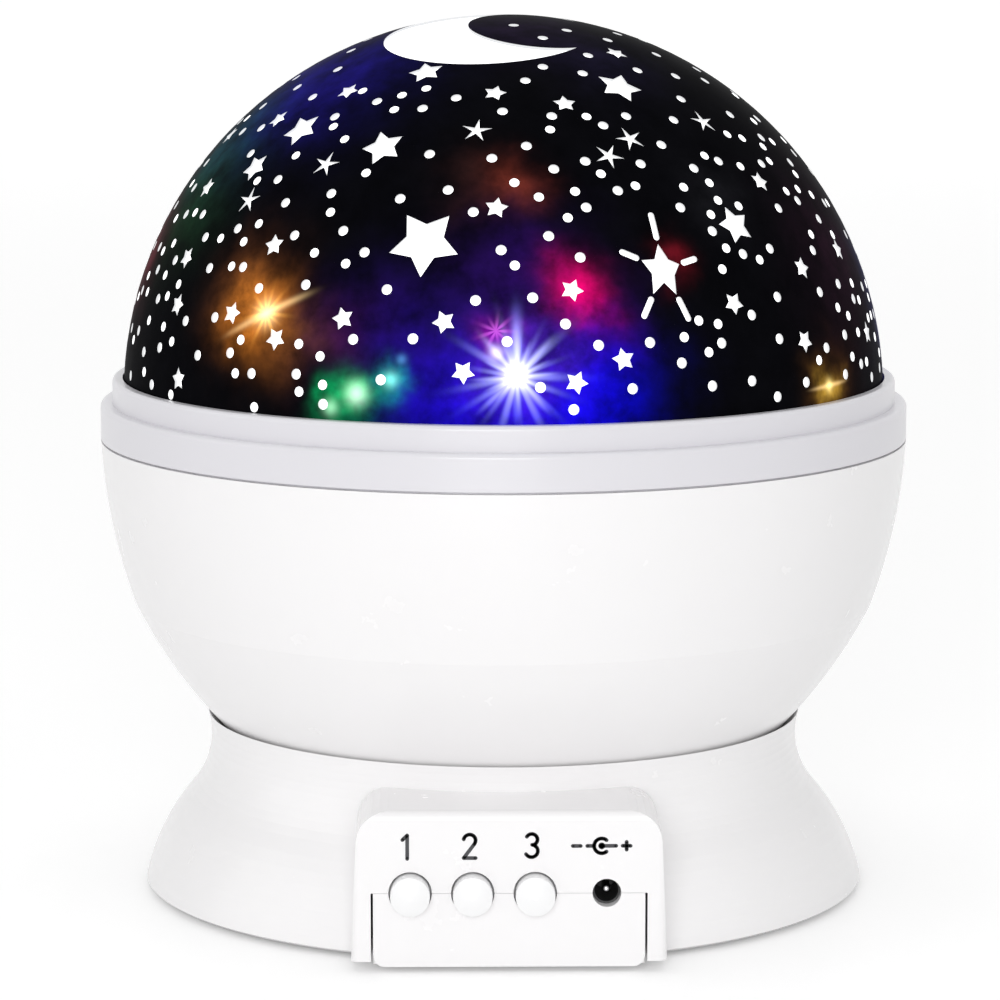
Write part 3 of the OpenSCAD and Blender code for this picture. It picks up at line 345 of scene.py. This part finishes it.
# %% What every light has
dome_radius = 60.9 * MM
dome_middle = (0.0, 0.0, 79.2 * MM)
# Each light group takes the painted lamp light so far and gives it back with its own painted light
# added.
PLACE = ("Place", "Vector", (0, 0, 0))
PAINTED_LIGHT_SOCKET = ("Painted Light", "Color", grey(0))
TINT = ("Tint", "Color", grey(1))
CENTRE = ("Centre", "Vector", (0, 0, 1))


def bell(tree, share):
    """A soft fall from 1 in the middle, by the distance as a share of the reach."""
    square = calc(tree, "MULTIPLY", share, share)
    return calc(tree, "EXPONENT", calc(tree, "MULTIPLY", square, -1.0))


def add_tint(tree, start, end, strength):
    """Adds the light's tint, so strong, to the painted light that came in."""
    light = scaled(tree, start.outputs["Tint"], strength)
    tree.links.new(vec(tree, "ADD", start.outputs["Painted Light"], light), end.inputs["Painted Light"])


print("dome radius", dome_radius / MM, "mm, middle", dome_middle[2] / MM, "mm up")

# %% Group: soft glow
glow, glow_in, glow_out = group(
    "soft glow", [PAINTED_LIGHT_SOCKET, PLACE, CENTRE, ("Reach", "Float", 5.0), TINT], [("Painted Light", "Color")])
away = vec(glow, "DISTANCE", glow_in.outputs["Place"], glow_in.outputs["Centre"])
share = calc(glow, "DIVIDE", away, glow_in.outputs["Reach"])
add_tint(glow, glow_in, glow_out, bell(glow, share))
print("group", glow.name, "has", len(glow.nodes), "nodes")

# %% [markdown]
# A ray thins and dims from its middle to its tip. It runs one way only, so a flare that
# crosses its lamp is two rays.

# %% Group: light ray
tip_width = 0.35    # of the width in the middle

ray, ray_in, ray_out = group(
    "light ray",
    [PAINTED_LIGHT_SOCKET, PLACE, CENTRE, ("Along", "Vector", (1, 0, 0)), ("Length", "Float", 10.0),
     ("Width", "Float", 0.5), TINT],
    [("Painted Light", "Color")])
offset = vec(ray, "SUBTRACT", ray_in.outputs["Place"], ray_in.outputs["Centre"])
run = vec(ray, "DOT_PRODUCT", offset, ray_in.outputs["Along"])
on_line = scaled(ray, ray_in.outputs["Along"], run)
aside = vec(ray, "LENGTH", vec(ray, "SUBTRACT", offset, on_line))
taper = calc(ray, "SUBTRACT", 1.0, calc(ray, "DIVIDE", run, ray_in.outputs["Length"]))
ahead = calc(ray, "GREATER_THAN", run, 0.0)
taper = calc(ray, "MULTIPLY", calc(ray, "MAXIMUM", taper, 0.001), ahead)
thinned = calc(ray, "MULTIPLY_ADD", taper, 1.0 - tip_width, tip_width)
spread = calc(ray, "MULTIPLY", thinned, ray_in.outputs["Width"])
share = calc(ray, "DIVIDE", aside, spread)
add_tint(ray, ray_in, ray_out, calc(ray, "MULTIPLY", bell(ray, share), taper))
print("group", ray.name, "has", len(ray.nodes), "nodes")

# %% [markdown]
# A spiky burst is a glow whose reach depends on the direction from its middle. Two cosines
# of the angle, with counts that don't divide each other, give spikes of uneven length.

# %% Group: spiky burst
broad_spikes, broad_start = 7.0, 0.8                # count, and turn in radians
fine_share, broad_share, plain_share = 0.3, 0.18, 0.62

burst, burst_in, burst_out = group(
    "spiky burst",
    [PAINTED_LIGHT_SOCKET, PLACE, CENTRE, ("Right", "Vector", (1, 0, 0)), ("Up", "Vector", (0, 0, 1)),
     ("Reach", "Float", 3.0), ("Spikes", "Float", 16.0), TINT],
    [("Painted Light", "Color")])
offset = vec(burst, "SUBTRACT", burst_in.outputs["Place"], burst_in.outputs["Centre"])
angle = calc(burst, "ARCTAN2", vec(burst, "DOT_PRODUCT", offset, burst_in.outputs["Up"]),
             vec(burst, "DOT_PRODUCT", offset, burst_in.outputs["Right"]))
fast = calc(burst, "COSINE", calc(burst, "MULTIPLY", angle, burst_in.outputs["Spikes"]))
slow = calc(burst, "COSINE", calc(burst, "MULTIPLY_ADD", angle, broad_spikes, broad_start))
spike = calc(burst, "MULTIPLY_ADD", slow, broad_share,
             calc(burst, "MULTIPLY_ADD", fast, fine_share, plain_share))
reach = calc(burst, "MULTIPLY", spike, burst_in.outputs["Reach"])
share = calc(burst, "DIVIDE", vec(burst, "LENGTH", offset), reach)
add_tint(burst, burst_in, burst_out, bell(burst, share))
print("group", burst.name, "has", len(burst.nodes), "nodes")

# %% [markdown]
# ## The painted lamp light
#
# Places on the dome are told by azimuth, to the right of the front, and elevation above the
# dome's widest circle, in degrees. Reaches and lengths are millimetres on the dome. The painted
# light is the sum: wide dim fields first, then pools, then spots, then the rays over them. Round
# pools look like lamps on a wall, not like a sky, so noise pushes the fields and pools about
# and makes clouds in them. The spots and rays stay sharp.

# %% Where a light stands on the dome
def dome_place(azimuth, elevation):
    """The direction from the dome's middle, as a vector of length 1."""
    a, e = math.radians(azimuth), math.radians(elevation)
    return Vector((math.sin(a) * math.cos(e), -math.cos(a) * math.cos(e), math.sin(e)))


def dome_frame(azimuth, elevation):
    """Right and up along the dome's surface there."""
    a, e = math.radians(azimuth), math.radians(elevation)
    right = Vector((math.cos(a), math.sin(a), 0))
    up = Vector((-math.sin(a) * math.sin(e), math.cos(a) * math.sin(e), math.cos(e)))
    return right, up


def dome_turn(azimuth, elevation, turn):
    """The direction along the surface at an angle, from right towards up."""
    right, up = dome_frame(azimuth, elevation)
    return right * math.cos(math.radians(turn)) + up * math.sin(math.radians(turn))


print("front of the dome is", [round(v, 2) for v in dome_place(0, 0)])

# %% The lights, widest first
# Azimuth, elevation, reach, colour. Round the back they are fewer and calmer.
POOLS = [
    # blue field round the burst, and its purple and indigo edges
    (-7, 6, 9, (0.004, 0.0, 0.38)), (3, 6, 10, (0.004, 0.0, 0.40)), (12, 6, 8.5, (0.0, 0.0, 0.48)),
    (1, 11, 7, (0.07, 0.015, 0.22)), (1, 24, 9, (0.012, 0.001, 0.06)),
    (13, 17, 6, (0.02, 0.0, 0.07)), (-17, 15, 9, (0.009, 0.001, 0.07)),
    (-26, 15, 5, (0.02, 0.001, 0.015)),
    # gold flare's fog, green spots' halo, crimson, magenta
    (-40, 17.5, 5.2, (0.6, 0.18, 0.015)), (-43, 20, 7, (0.08, 0.025, 0.008)),
    (-34, 15, 5, (0.09, 0.028, 0.006)),
    (-22, 7, 2.9, (0.0, 0.6, 0.12)), (-26, 5, 2.2, (0.0, 0.45, 0.12)),
    (-17, 9.2, 2.0, (0.0, 0.4, 0.3)), (-22, 6, 4.5, (0.0, 0.03, 0.02)),
    (10.6, 21, 3.6, (0.8, 0.0, 0.08)), (8.5, 24.5, 4, (0.08, 0.0, 0.02)),
    (-1.9, 16.3, 2.6, (0.25, 0.0, 0.2)), (26.8, 26.3, 2.6, (0.14, 0.004, 0.01)),
    (54.4, 5.6, 4, (0.1, 0.04, 0.006)), (54.4, 5.6, 2.2, (0.7, 0.42, 0.05)),
    # far, dim hazes
    (-60, 58, 13, (0.006, 0.003, 0.12)), (-76, 43, 9, (0.002, 0.024, 0.03)),
    (-70, 34, 10, (0.004, 0.02, 0.006)), (1, 38.5, 3.6, (0.12, 0.018, 0.008)),
    (-6, 38.5, 5, (0.018, 0.005, 0.003)), (12, 77, 9, (0.008, 0.004, 0.014)),
    (33, 64, 8, (0.004, 0.003, 0.012)), (38, 35, 5, (0.005, 0.005, 0.006)),
    (68, 24, 12, (0.009, 0.002, 0.006)), (58, 8, 6, (0.008, 0.002, 0.001)),
    # the sides and the back
    (98, 14, 11, (0.0, 0.0, 0.30)), (122, 34, 9, (0.05, 0.0, 0.05)),
    (146, 12, 6, (0.0, 0.07, 0.03)), (172, 26, 7, (0.30, 0.09, 0.01)),
    (196, 9, 10, (0.0, 0.0, 0.34)), (226, 30, 10, (0.01, 0.0, 0.09)),
    (252, 12, 6, (0.0, 0.08, 0.02)), (276, 22, 7, (0.06, 0.005, 0.01)),
]
SPOTS = [
    (1, 9.9, 1.8, (1.0, 1.0, 1.0)), (-1.8, 13.2, 1.0, (0.8, 0.75, 0.9)),
    (-38.5, 17.5, 1.8, (1.0, 0.85, 0.45)), (-21.9, 7.1, 1.5, (0.75, 0.8, 0.75)),
    (-25.8, 5, 1.1, (0.35, 0.75, 0.45)), (-16.9, 9.2, 1.1, (0.25, 0.75, 0.6)),
    (-15.4, 12.1, 0.7, (0.06, 0.2, 0.4)), (54.4, 5.6, 0.9, (1.0, 0.8, 0.3)),
    (146, 12, 1.3, (0.4, 0.9, 0.6)), (252, 12, 1.3, (0.4, 0.9, 0.6)),
    (98, 14, 1.4, (0.8, 0.85, 1.0)), (172, 26, 1.5, (1.0, 0.8, 0.4)),
    (196, 9, 1.4, (0.8, 0.85, 1.0)),
]
BLUE = (0.25, 0.3, 1.0)
PALE = (0.55, 0.6, 1.0)
GOLD = (0.8, 0.55, 0.25)
# By the azimuth and elevation of the middle: turn, length, width, colour
RAYS = {
    (1, 9.9): [
        (90, 29, 0.9, BLUE), (90, 13, 0.7, PALE), (270, 9, 0.7, BLUE), (47, 14.5, 0.6, PALE),
        (130, 15, 0.6, PALE), (223, 11, 0.6, PALE), (312, 10, 0.6, PALE), (184, 15, 0.35, PALE),
        (5, 13, 0.35, PALE), (68, 8, 0.4, PALE), (112, 8, 0.4, PALE), (26, 7, 0.4, PALE),
        (154, 7, 0.4, PALE), (204, 6, 0.4, PALE), (335, 6, 0.4, PALE)],
    (-38.5, 17.5): [(27, 25, 0.6, GOLD), (207, 21, 0.6, GOLD)],
    (54.4, 5.6): [(2, 9, 0.4, GOLD), (182, 8, 0.4, GOLD)],
    (98, 14): [(90, 9, 0.6, BLUE), (30, 7, 0.5, PALE), (150, 7, 0.5, PALE)],
    (172, 26): [(20, 10, 0.3, GOLD), (200, 10, 0.3, GOLD)],
    (196, 9): [(90, 9, 0.6, BLUE), (45, 7, 0.5, PALE), (135, 7, 0.5, PALE)],
}
# Azimuth, elevation, reach, spikes, colour
BURSTS = [
    (1, 9.9, 5.2, 17, (0.45, 0.5, 1.0)), (-38.5, 17.5, 2.6, 13, (0.9, 0.45, 0.08)),
    (-1.9, 16.3, 1.8, 9, (0.5, 0.1, 0.55)),
]
print(len(POOLS), "pools,", len(SPOTS), "spots,", sum(map(len, RAYS.values())), "rays,",
      len(BURSTS), "bursts")

# %% Group: painted lamp light
# Places and lengths in this group are in dome radii
swirl_scale, swirl_reach = 7.0, 0.16
cloud_scale = 11.0
cloud_low, cloud_high = 0.4, 1.6

# The lamps' light on the dome is painted here as a colour: pools, spots, bursts and rays, summed.
sky, painted_light_in, painted_light_out = group(
    "night sky", [("Base", "Color", (0.001, 0.001, 0.0014, 1))], [("Colour", "Color")])
place = vec(sky, "SUBTRACT", own_place(sky), dome_middle)
place = vec(sky, "DIVIDE", place, (dome_radius, dome_radius, dome_radius))
swirl = put(sky, "ShaderNodeTexNoise", None,
            {"Vector": place, "Scale": swirl_scale, "Detail": 3.0})
push = vec(sky, "SUBTRACT", swirl.outputs["Color"], (0.5, 0.5, 0.5))
drifted = vec(sky, "ADD", place, scaled(sky, push, swirl_reach))


def on_dome(length_mm):
    """A length along the dome, in dome radii."""
    return length_mm * MM / dome_radius


def add_glows(painted, glows, place):
    """Adds each pool or spot to what is painted so far."""
    for azimuth, elevation, reach_mm, colour in glows:
        painted = use(sky, glow, {
            "Painted Light": painted, "Place": place, "Centre": dome_place(azimuth, elevation),
            "Reach": on_dome(reach_mm), "Tint": (*colour, 1)}).outputs["Painted Light"]
    return painted


painted = add_glows(painted_light_in.outputs["Base"], POOLS, drifted)
cloud = put(sky, "ShaderNodeMapRange", None, {
    "Value": noise(sky, place, cloud_scale, 5.0, 0.62), "From Min": 0.3, "From Max": 0.7,
    "To Min": cloud_low, "To Max": cloud_high})
painted = scaled(sky, painted, cloud.outputs["Result"])
painted = add_glows(painted, SPOTS, place)
for azimuth, elevation, reach_mm, spikes, colour in BURSTS:
    right, up = dome_frame(azimuth, elevation)
    painted = use(sky, burst, {
        "Painted Light": painted, "Place": place, "Centre": dome_place(azimuth, elevation), "Right": right,
        "Up": up, "Reach": on_dome(reach_mm), "Spikes": spikes,
        "Tint": (*colour, 1)}).outputs["Painted Light"]
for (azimuth, elevation), rays in RAYS.items():
    for turn, length_mm, width_mm, colour in rays:
        painted = use(sky, ray, {
            "Painted Light": painted, "Place": place, "Centre": dome_place(azimuth, elevation),
            "Along": dome_turn(azimuth, elevation, turn), "Length": on_dome(length_mm),
            "Width": on_dome(width_mm), "Tint": (*colour, 1)}).outputs["Painted Light"]
sky.links.new(painted, painted_light_out.inputs["Colour"])
print("group", sky.name, "has", len(sky.nodes), "nodes")

# %% [markdown]
# ## The black skin and the milky dome
#
# The skin is an opaque black lacquer that mirrors next to nothing in the picture. It glows
# with the lamps' light painted on it, so that it reads in a bright room. Under it the milky
# dome glows with painted light, as if lit from within, and is white wherever a window lets it
# through. The same painted white glow is put on the walls of the windows, as if the dome's
# light spilled there, so that they show white from the side. The walls are told from the skin
# by their normal, which lies across the line from the dome's middle. This normal is the world's
# and the line is the dome's own, so the test holds only while the head isn't turned. With the
# head turned it takes skin for walls and shows it white. That is an open fault, and turning the
# normal into the dome's own space first would cure it.

# %% The dome's two materials
# The white of the milky dome's painted glow, also painted on the windows' walls.
painted_window_glow = (0.86, 0.87, 0.88)
wall_facing = 0.6    # cosine from outward under which a face is a window's wall
painted_light_through = 0.25   # share of the painted lamp light's colour that tinges the milky dome's painted glow

finish, tree, shader = material("black star lacquer")
height = mould(tree, shader, (0.0015, 0.0015, 0.002), gloss=0.42, spread=0.1, drift=0.3, peel=700.0)
bump(tree, shader, height, 0.2, 0.01 * MM)
outward = vec(tree, "NORMALIZE", vec(tree, "SUBTRACT", own_place(tree), dome_middle))
normal = put(tree, "ShaderNodeNewGeometry").outputs["True Normal"]
facing = calc(tree, "ABSOLUTE", vec(tree, "DOT_PRODUCT", outward, normal))
# Painted light on the windows' walls: the milky dome's white glow, put there as if it spilled.
spill = scaled(tree, painted_window_glow, calc(tree, "LESS_THAN", facing, wall_facing))
# The skin's own emission is painted light: the lamps' pools, spots, bursts and rays.
lights = use(tree, sky).outputs["Colour"]
feed(tree, shader, {"Emission Color": vec(tree, "ADD", lights, spill)})
shader.inputs["Emission Strength"].default_value = 1.0
shader.inputs["IOR"].default_value = 1.45
shader.inputs["Specular IOR Level"].default_value = 0.002
finishes["mask"] = finish

finish, tree, shader = material("milky dome, lit")
height = mould(tree, shader, (0.8, 0.8, 0.8), gloss=0.4, spread=0.1, drift=0.05, peel=500.0)
bump(tree, shader, height, 0.1, 0.01 * MM)
# The milky dome glows with painted light: a white emission, tinged with the painted lamp light,
# stands in for the lamps shining through it.
tinge = scaled(tree, use(tree, sky).outputs["Colour"], painted_light_through)
bright = vec(tree, "MINIMUM", vec(tree, "ADD", tinge, painted_window_glow), (1, 1, 1))
feed(tree, shader, {"Emission Color": bright})
shader.inputs["Emission Strength"].default_value = 1.0
finishes["milky"] = finish
print("dome finishes: mask, milky")

# %% [markdown]
# ## Lamps
#
# Each lamp is a clear, faintly tinted resin bullet that is lit. It is only seen when the
# cover is off, so a plain lit plastic does, with the same skin as the rest.

# %% The lamps
def lamp(name, colour, strength):
    """A lit resin bullet."""
    made, tree, shader = material(name)
    height = mould(tree, shader, colour, gloss=0.14, spread=0.05, drift=0.08, peel=1200.0)
    bump(tree, shader, height, 0.05, 0.01 * MM)
    feed(tree, shader, {"Emission Color": shader.inputs["Base Color"].links[0].from_socket})
    shader.inputs["Emission Strength"].default_value = strength
    return made


for name, colour, strength in [("white lamp", (0.95, 0.95, 0.9), 0.8),
                               ("red lamp", (0.85, 0.05, 0.04), 0.6),
                               ("green lamp", (0.05, 0.7, 0.12), 0.6),
                               ("blue lamp", (0.04, 0.1, 0.85), 0.6)]:
    finishes[name] = lamp(name, colour, strength)
print("lamps:", [name for name in finishes if name.endswith(" lamp")])

# %% [markdown]
# ## Dressing the frame
#
# Each CAD node keeps its mesh and gets its finish by its slot. A node that has no entry
# here would stay a flat grey, so the cell stops on one that is left out.

# %% Give every node its finish
DRESS = {
    "casing": "bowl base_shell bottom_cover battery_door",
    "ring": "trim_ring",
    "button": "button_1 button_2 button_3",
    "dish": "reflector_dish lamp_head lamp_post",
    "gear": "head_gear drive_pinion gearbox_case",
    "washer": "thrust_washer",
    "black": "switch_bodies switch_stem_1 switch_stem_2 switch_stem_3 dc_jack",
    "lamp board": "led_board",
    "board": "control_board",
    "wire": "led_wires",
    "rubber": "rubber_feet",
    "cell": "battery_cells",
    "steel": "gear_screws output_shaft motor_can motor_screws post_screws retaining_ring"
             " cover_screws board_screws door_screw",
    "chrome": "jack_pin battery_contacts",
    "mask": "star_mask",
    "milky": "dome_shell",
    "white lamp": "led_white",
    "red lamp": "led_red",
    "green lamp": "led_green",
    "blue lamp": "led_blue",
}
dressed = set()
for finish_name, names in DRESS.items():
    for name in names.split():
        nodes[name].material_slots[0].material = finishes[finish_name]
        dressed.add(name)
assert dressed == set(nodes), sorted(set(nodes) - dressed)
print("dressed", len(dressed), "nodes")

# %% [markdown]
# ## Pin dots
#
# Between the windows that are cut through the skin, the real one has many more small dots,
# crowded in some places and rare in others. Here they are thin discs on the skin, with the
# milky dome's painted glow. A ray from outside tells whether there is skin under a place: it
# hits at the dome's radius, or falls through a window. A dot goes only where the skin is whole
# for a margin all round.

# %% Where the skin is whole
skin_mesh = nodes["star_mask"].data
skin_tree = BVHTree.FromPolygons([v.co for v in skin_mesh.vertices],
                                 [p.vertices for p in skin_mesh.polygons])
pin_r = 0.75 * MM
pin_margin = 0.8 * MM
skin_slack = 0.1 * MM    # how far under the dome's radius a hit still counts as skin
middle = Vector(dome_middle)


def has_skin(direction):
    """Whether a ray towards the dome's middle meets the skin's outer face."""
    start = middle + direction * dome_radius * 1.1
    hit = skin_tree.ray_cast(start, -direction, dome_radius * 0.2)[0]
    return hit is not None and (hit - middle).length > dome_radius - skin_slack


def ring_about(direction, radius, count):
    """Places on a circle round a place on the dome."""
    right = direction.orthogonal().normalized()
    up = direction.cross(right)
    return [middle + direction * dome_radius
            + (right * math.cos(turn) + up * math.sin(turn)) * radius
            for turn in (2 * math.pi * i / count for i in range(count))]


def is_clear(direction):
    """Whether a dot and its margin lie on whole skin."""
    rim = ring_about(direction, pin_r + pin_margin, 10)
    return has_skin(direction) and all(has_skin((p - middle).normalized()) for p in rim)


print("skin in front:", has_skin(dome_place(-3, 22)),
      "window in front:", not has_skin(dome_place(-13.5, 29)))

# %% Scatter the dots
# Azimuth, elevation and spread of the crowded places, in degrees
CROWDS = [(16, 42, 15), (36, 33, 12), (62, 44, 14), (-46, 28, 15), (-64, 14, 14),
          (-34, 48, 13), (-30, 8, 9), (30, 12, 8), (70, 10, 12), (120, 30, 16), (165, 45, 16),
          (205, 20, 16), (240, 40, 16), (285, 20, 16)]
attempts = 1500
stray_share = 0.03           # of the attempts that pass far from any crowd
spacing = 3.0 * MM
spot_margin_mm = 1.5
lowest, highest = 0.07, 0.985    # sines of the elevations that dots keep between


def apart(one, other):
    """The straight distance between two places on the dome."""
    return (one - other).length * dome_radius


dice = random.Random(11)
pins = []
for _ in range(attempts):
    azimuth = dice.uniform(-180, 180)
    elevation = math.degrees(math.asin(dice.uniform(lowest, highest)))
    direction = dome_place(azimuth, elevation)
    crowd = max(math.exp(-(math.degrees(direction.angle(dome_place(a, e))) / spread) ** 2)
                for a, e, spread in CROWDS)
    if dice.random() > stray_share + crowd ** 2:
        continue
    on_spot = any(apart(direction, dome_place(a, e)) < (reach_mm + spot_margin_mm) * MM
                  for a, e, reach_mm, colour in SPOTS)
    close = any(apart(direction, other) < spacing for other in pins)
    if not on_spot and not close and is_clear(direction):
        pins.append(direction)
in_front = sum(1 for direction in pins if direction.y < 0)
print(len(pins), "pin dots,", in_front, "of them on the front half")

# %% Build the dots
pin_proud = 0.015 * MM
pin_sides = 18


def add_prism(verts, faces, front, back):
    """Adds a closed prism between two outlines with as many points each."""
    start, count = len(verts), len(front)
    verts.extend(front + back)
    faces.append(tuple(start + i for i in range(count)))
    faces.append(tuple(start + count + i for i in reversed(range(count))))
    for i in range(count):
        j = (i + 1) % count
        faces.append((start + j, start + i, start + count + i, start + count + j))


def add_piece(name, verts, faces, finish, body):
    """Makes one piece of the mesh, on its body."""
    mesh = bpy.data.meshes.new(name)
    mesh.from_pydata(verts, [], faces)
    mesh.update()
    mesh.materials.append(finishes[finish])
    obj = bpy.data.objects.new(name, mesh)
    bpy.context.scene.collection.objects.link(obj)
    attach(obj, body)


verts, faces = [], []
for direction in pins:
    rim = ring_about(direction, pin_r, pin_sides)
    lift = direction * pin_proud
    add_prism(verts, faces, [p + lift for p in rim], [p - lift for p in rim])
# The dots carry the milky dome's painted glow.
add_piece("pin_dots", verts, faces, "milky", "dome_cover")
print("pin_dots has", len(faces), "faces")

# %% [markdown]
# ## Marks on the panel
#
# The real panel carries printed captions over its buttons and its inlet. Plain numerals and
# the common sign for a direct-current inlet take their place. They are thin solids a few
# hundredths of a millimetre proud, as a pad-printed ink is: each is a chain of strokes with
# round ends, built as short flat bars and discs.

# %% Ink strokes on the panel
panel_y = -60.9 * MM
ink_proud = 0.04 * MM
ink_half = 0.28 * MM    # half a stroke's width
disc_sides = 12


def add_slab(verts, faces, outline):
    """Adds a flat bar or disc of ink, which stands on the panel and a little into it."""
    add_prism(verts, faces, [(x, panel_y - ink_proud, z) for x, z in outline],
              [(x, panel_y + ink_proud, z) for x, z in outline])


def add_mark(name, chains):
    """Puts one printed mark on the base: a bar along each step of a chain, a disc at each point."""
    verts, faces = [], []
    for chain in chains:
        for (xa, za), (xb, zb) in zip(chain, chain[1:]):
            step = math.hypot(xb - xa, zb - za)
            ox, oz = (za - zb) / step * ink_half, (xb - xa) / step * ink_half
            add_slab(verts, faces, [(xa + ox, za + oz), (xa - ox, za - oz),
                                    (xb - ox, zb - oz), (xb + ox, zb + oz)])
        for x, z in chain:
            turns = [2 * math.pi * i / disc_sides for i in range(disc_sides)]
            add_slab(verts, faces, [(x + ink_half * math.cos(t), z - ink_half * math.sin(t))
                                    for t in turns])
    add_piece(name, verts, faces, "ink", "base")


print("ink is", ink_proud / MM, "mm proud and", 2 * ink_half / MM, "mm wide")

# %% [markdown]
# The numerals are drawn on a grid 1 wide and 2 high, by their corners and a few points on
# each curve. The inlet's sign is drawn about its middle: a ring round a point, with a minus
# on the left and a plus on the right. Each is scaled, and placed over its button or inlet.

# %% Numerals and the inlet's sign
def arc(x, z, radius, first, last, steps=10):
    """Points along part of a circle, by angles in degrees."""
    turns = [math.radians(first + (last - first) * i / steps) for i in range(steps + 1)]
    return [(x + radius * math.cos(t), z + radius * math.sin(t)) for t in turns]


NUMERALS = {
    "1": [[(0.15, 1.6), (0.55, 2.0), (0.55, 0.0)]],
    "2": [arc(0.5, 1.5, 0.5, 170, -35) + [(0.0, 0.0), (1.0, 0.0)]],
    "3": [arc(0.48, 1.5, 0.48, 150, -80), arc(0.46, 0.53, 0.53, 85, -150)],
}
INLET_SIGN = [
    arc(0.0, 0.0, 0.95, 50, 310, 16), arc(0.0, 0.0, 0.2, 0, 360, 8),
    [(0.2, 0.0), (1.8, 0.0)], [(-0.95, 0.0), (-1.8, 0.0)],
    [(2.6, 0.0), (3.6, 0.0)], [(3.1, -0.5), (3.1, 0.5)], [(-3.6, 0.0), (-2.6, 0.0)],
]
numeral_unit = 1.8    # mm
sign_unit = 1.2
# Name, chains, unit, and where the drawing's zero stands on the panel, in mm
MARKS = [
    ("numeral_1", NUMERALS["1"], numeral_unit, (-15.3 - numeral_unit / 2, 17.4)),
    ("numeral_2", NUMERALS["2"], numeral_unit, (-5.9 - numeral_unit / 2, 17.5)),
    ("numeral_3", NUMERALS["3"], numeral_unit, (3.4 - numeral_unit / 2, 17.6)),
    ("inlet_sign", INLET_SIGN, sign_unit, (13.8, 19.3)),
]
for name, chains, unit, (x0, z0) in MARKS:
    add_mark(name, [[((x0 + x * unit) * MM, (z0 + z * unit) * MM) for x, z in chain]
                    for chain in chains])
print("marks:", [mark[0] for mark in MARKS])

# %% [markdown]
# ## The table and the light
#
# The object stands on a plain pale table that runs on behind it. The floor keeps the
# object's soft shadow, and looks white to the camera, and to rays that mirrored or clear
# surfaces send out, because it gives those rays a little light of its own, and more of it
# far behind, where the lamps don't reach. No lamp is made stronger for that. The light is
# mostly an even white surround, as in a tent of white cloth, with a large soft lamp in
# front, weaker ones to both sides, and one above.

# %% Floor
floor_reach = 12.0     # metres to both sides and behind
floor_front = 3.0      # towards the camera
mesh = bpy.data.meshes.new("floor")
mesh.from_pydata([(-floor_reach, -floor_front, 0), (floor_reach, -floor_front, 0),
                  (floor_reach, floor_reach, 0), (-floor_reach, floor_reach, 0)],
                 [], [(0, 1, 2, 3)])
floor = bpy.data.objects.new("floor", mesh)
bpy.context.scene.collection.objects.link(floor)
floor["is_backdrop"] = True
finish, tree, shader = material("pale table")
mould(tree, shader, (0.92, 0.92, 0.92), gloss=0.5, spread=0.05, drift=0.01, peel=300.0)


def is_seen(tree):
    """1 for the camera's rays and those that mirrored or clear surfaces send out, else 0."""
    path = put(tree, "ShaderNodeLightPath").outputs
    indirect = calc(tree, "MAXIMUM", path["Is Glossy Ray"], path["Is Transmission Ray"])
    return calc(tree, "MAXIMUM", path["Is Camera Ray"], indirect)


# The floor's own light, from close by to far behind, in metres from the object
near, far = 0.1, 2.2
near_lift, far_lift = 0.205, 0.36
lift = put(tree, "ShaderNodeMapRange", {"interpolation_type": "SMOOTHSTEP"}, {
    "Value": vec(tree, "LENGTH", own_place(tree)), "From Min": near, "From Max": far,
    "To Min": near_lift, "To Max": far_lift}).outputs["Result"]
shader.inputs["Emission Color"].default_value = grey(1)
feed(tree, shader, {"Emission Strength": calc(tree, "MULTIPLY", is_seen(tree), lift)})
mesh.materials.append(finish)
print("floor", 2 * floor_reach, "m wide")

# %% Surround and lamps
world = bpy.data.worlds.new("studio")
world.use_nodes = True
bpy.context.scene.world = world
surround = 0.62    # what lights the object, where 1 is what the camera sees
tree = world.node_tree
back = tree.nodes["Background"]
back.inputs["Color"].default_value = grey(1)
feed(tree, back, {"Strength": calc(tree, "MULTIPLY_ADD", is_seen(tree), 1.0 - surround, surround)})
object_middle = Vector((0, 0, 0.07))


def lamp_panel(name, place, size_m, watts):
    """A soft square lamp that faces the object's middle."""
    data = bpy.data.lights.new(name, "AREA")
    data.shape = "SQUARE"
    data.size = size_m
    data.energy = watts
    obj = bpy.data.objects.new(name, data)
    bpy.context.scene.collection.objects.link(obj)
    obj.location = place
    towards = object_middle - Vector(place)
    obj.rotation_euler = towards.to_track_quat("-Z", "Y").to_euler()


# Name, place in metres, side in metres, watts
LAMPS = [
    ("front lamp", (-0.1, -1.3, 0.35), 0.6, 6.5),
    ("left lamp", (-1.0, -0.1, 0.35), 0.7, 0.8),
    ("side lamp", (0.9, -0.4, 0.5), 0.7, 0.4),
    ("top lamp", (0.0, 0.15, 1.2), 0.8, 1.8),
]
for name, place, size_m, watts in LAMPS:
    lamp_panel(name, place, size_m, watts)

# %% [markdown]
# ## Sizes, and the end
#
# The box of the dressed object is printed. The looks may not make the object larger
# than the frame.

# %% Sizes and finish
print("visual box:", corners())
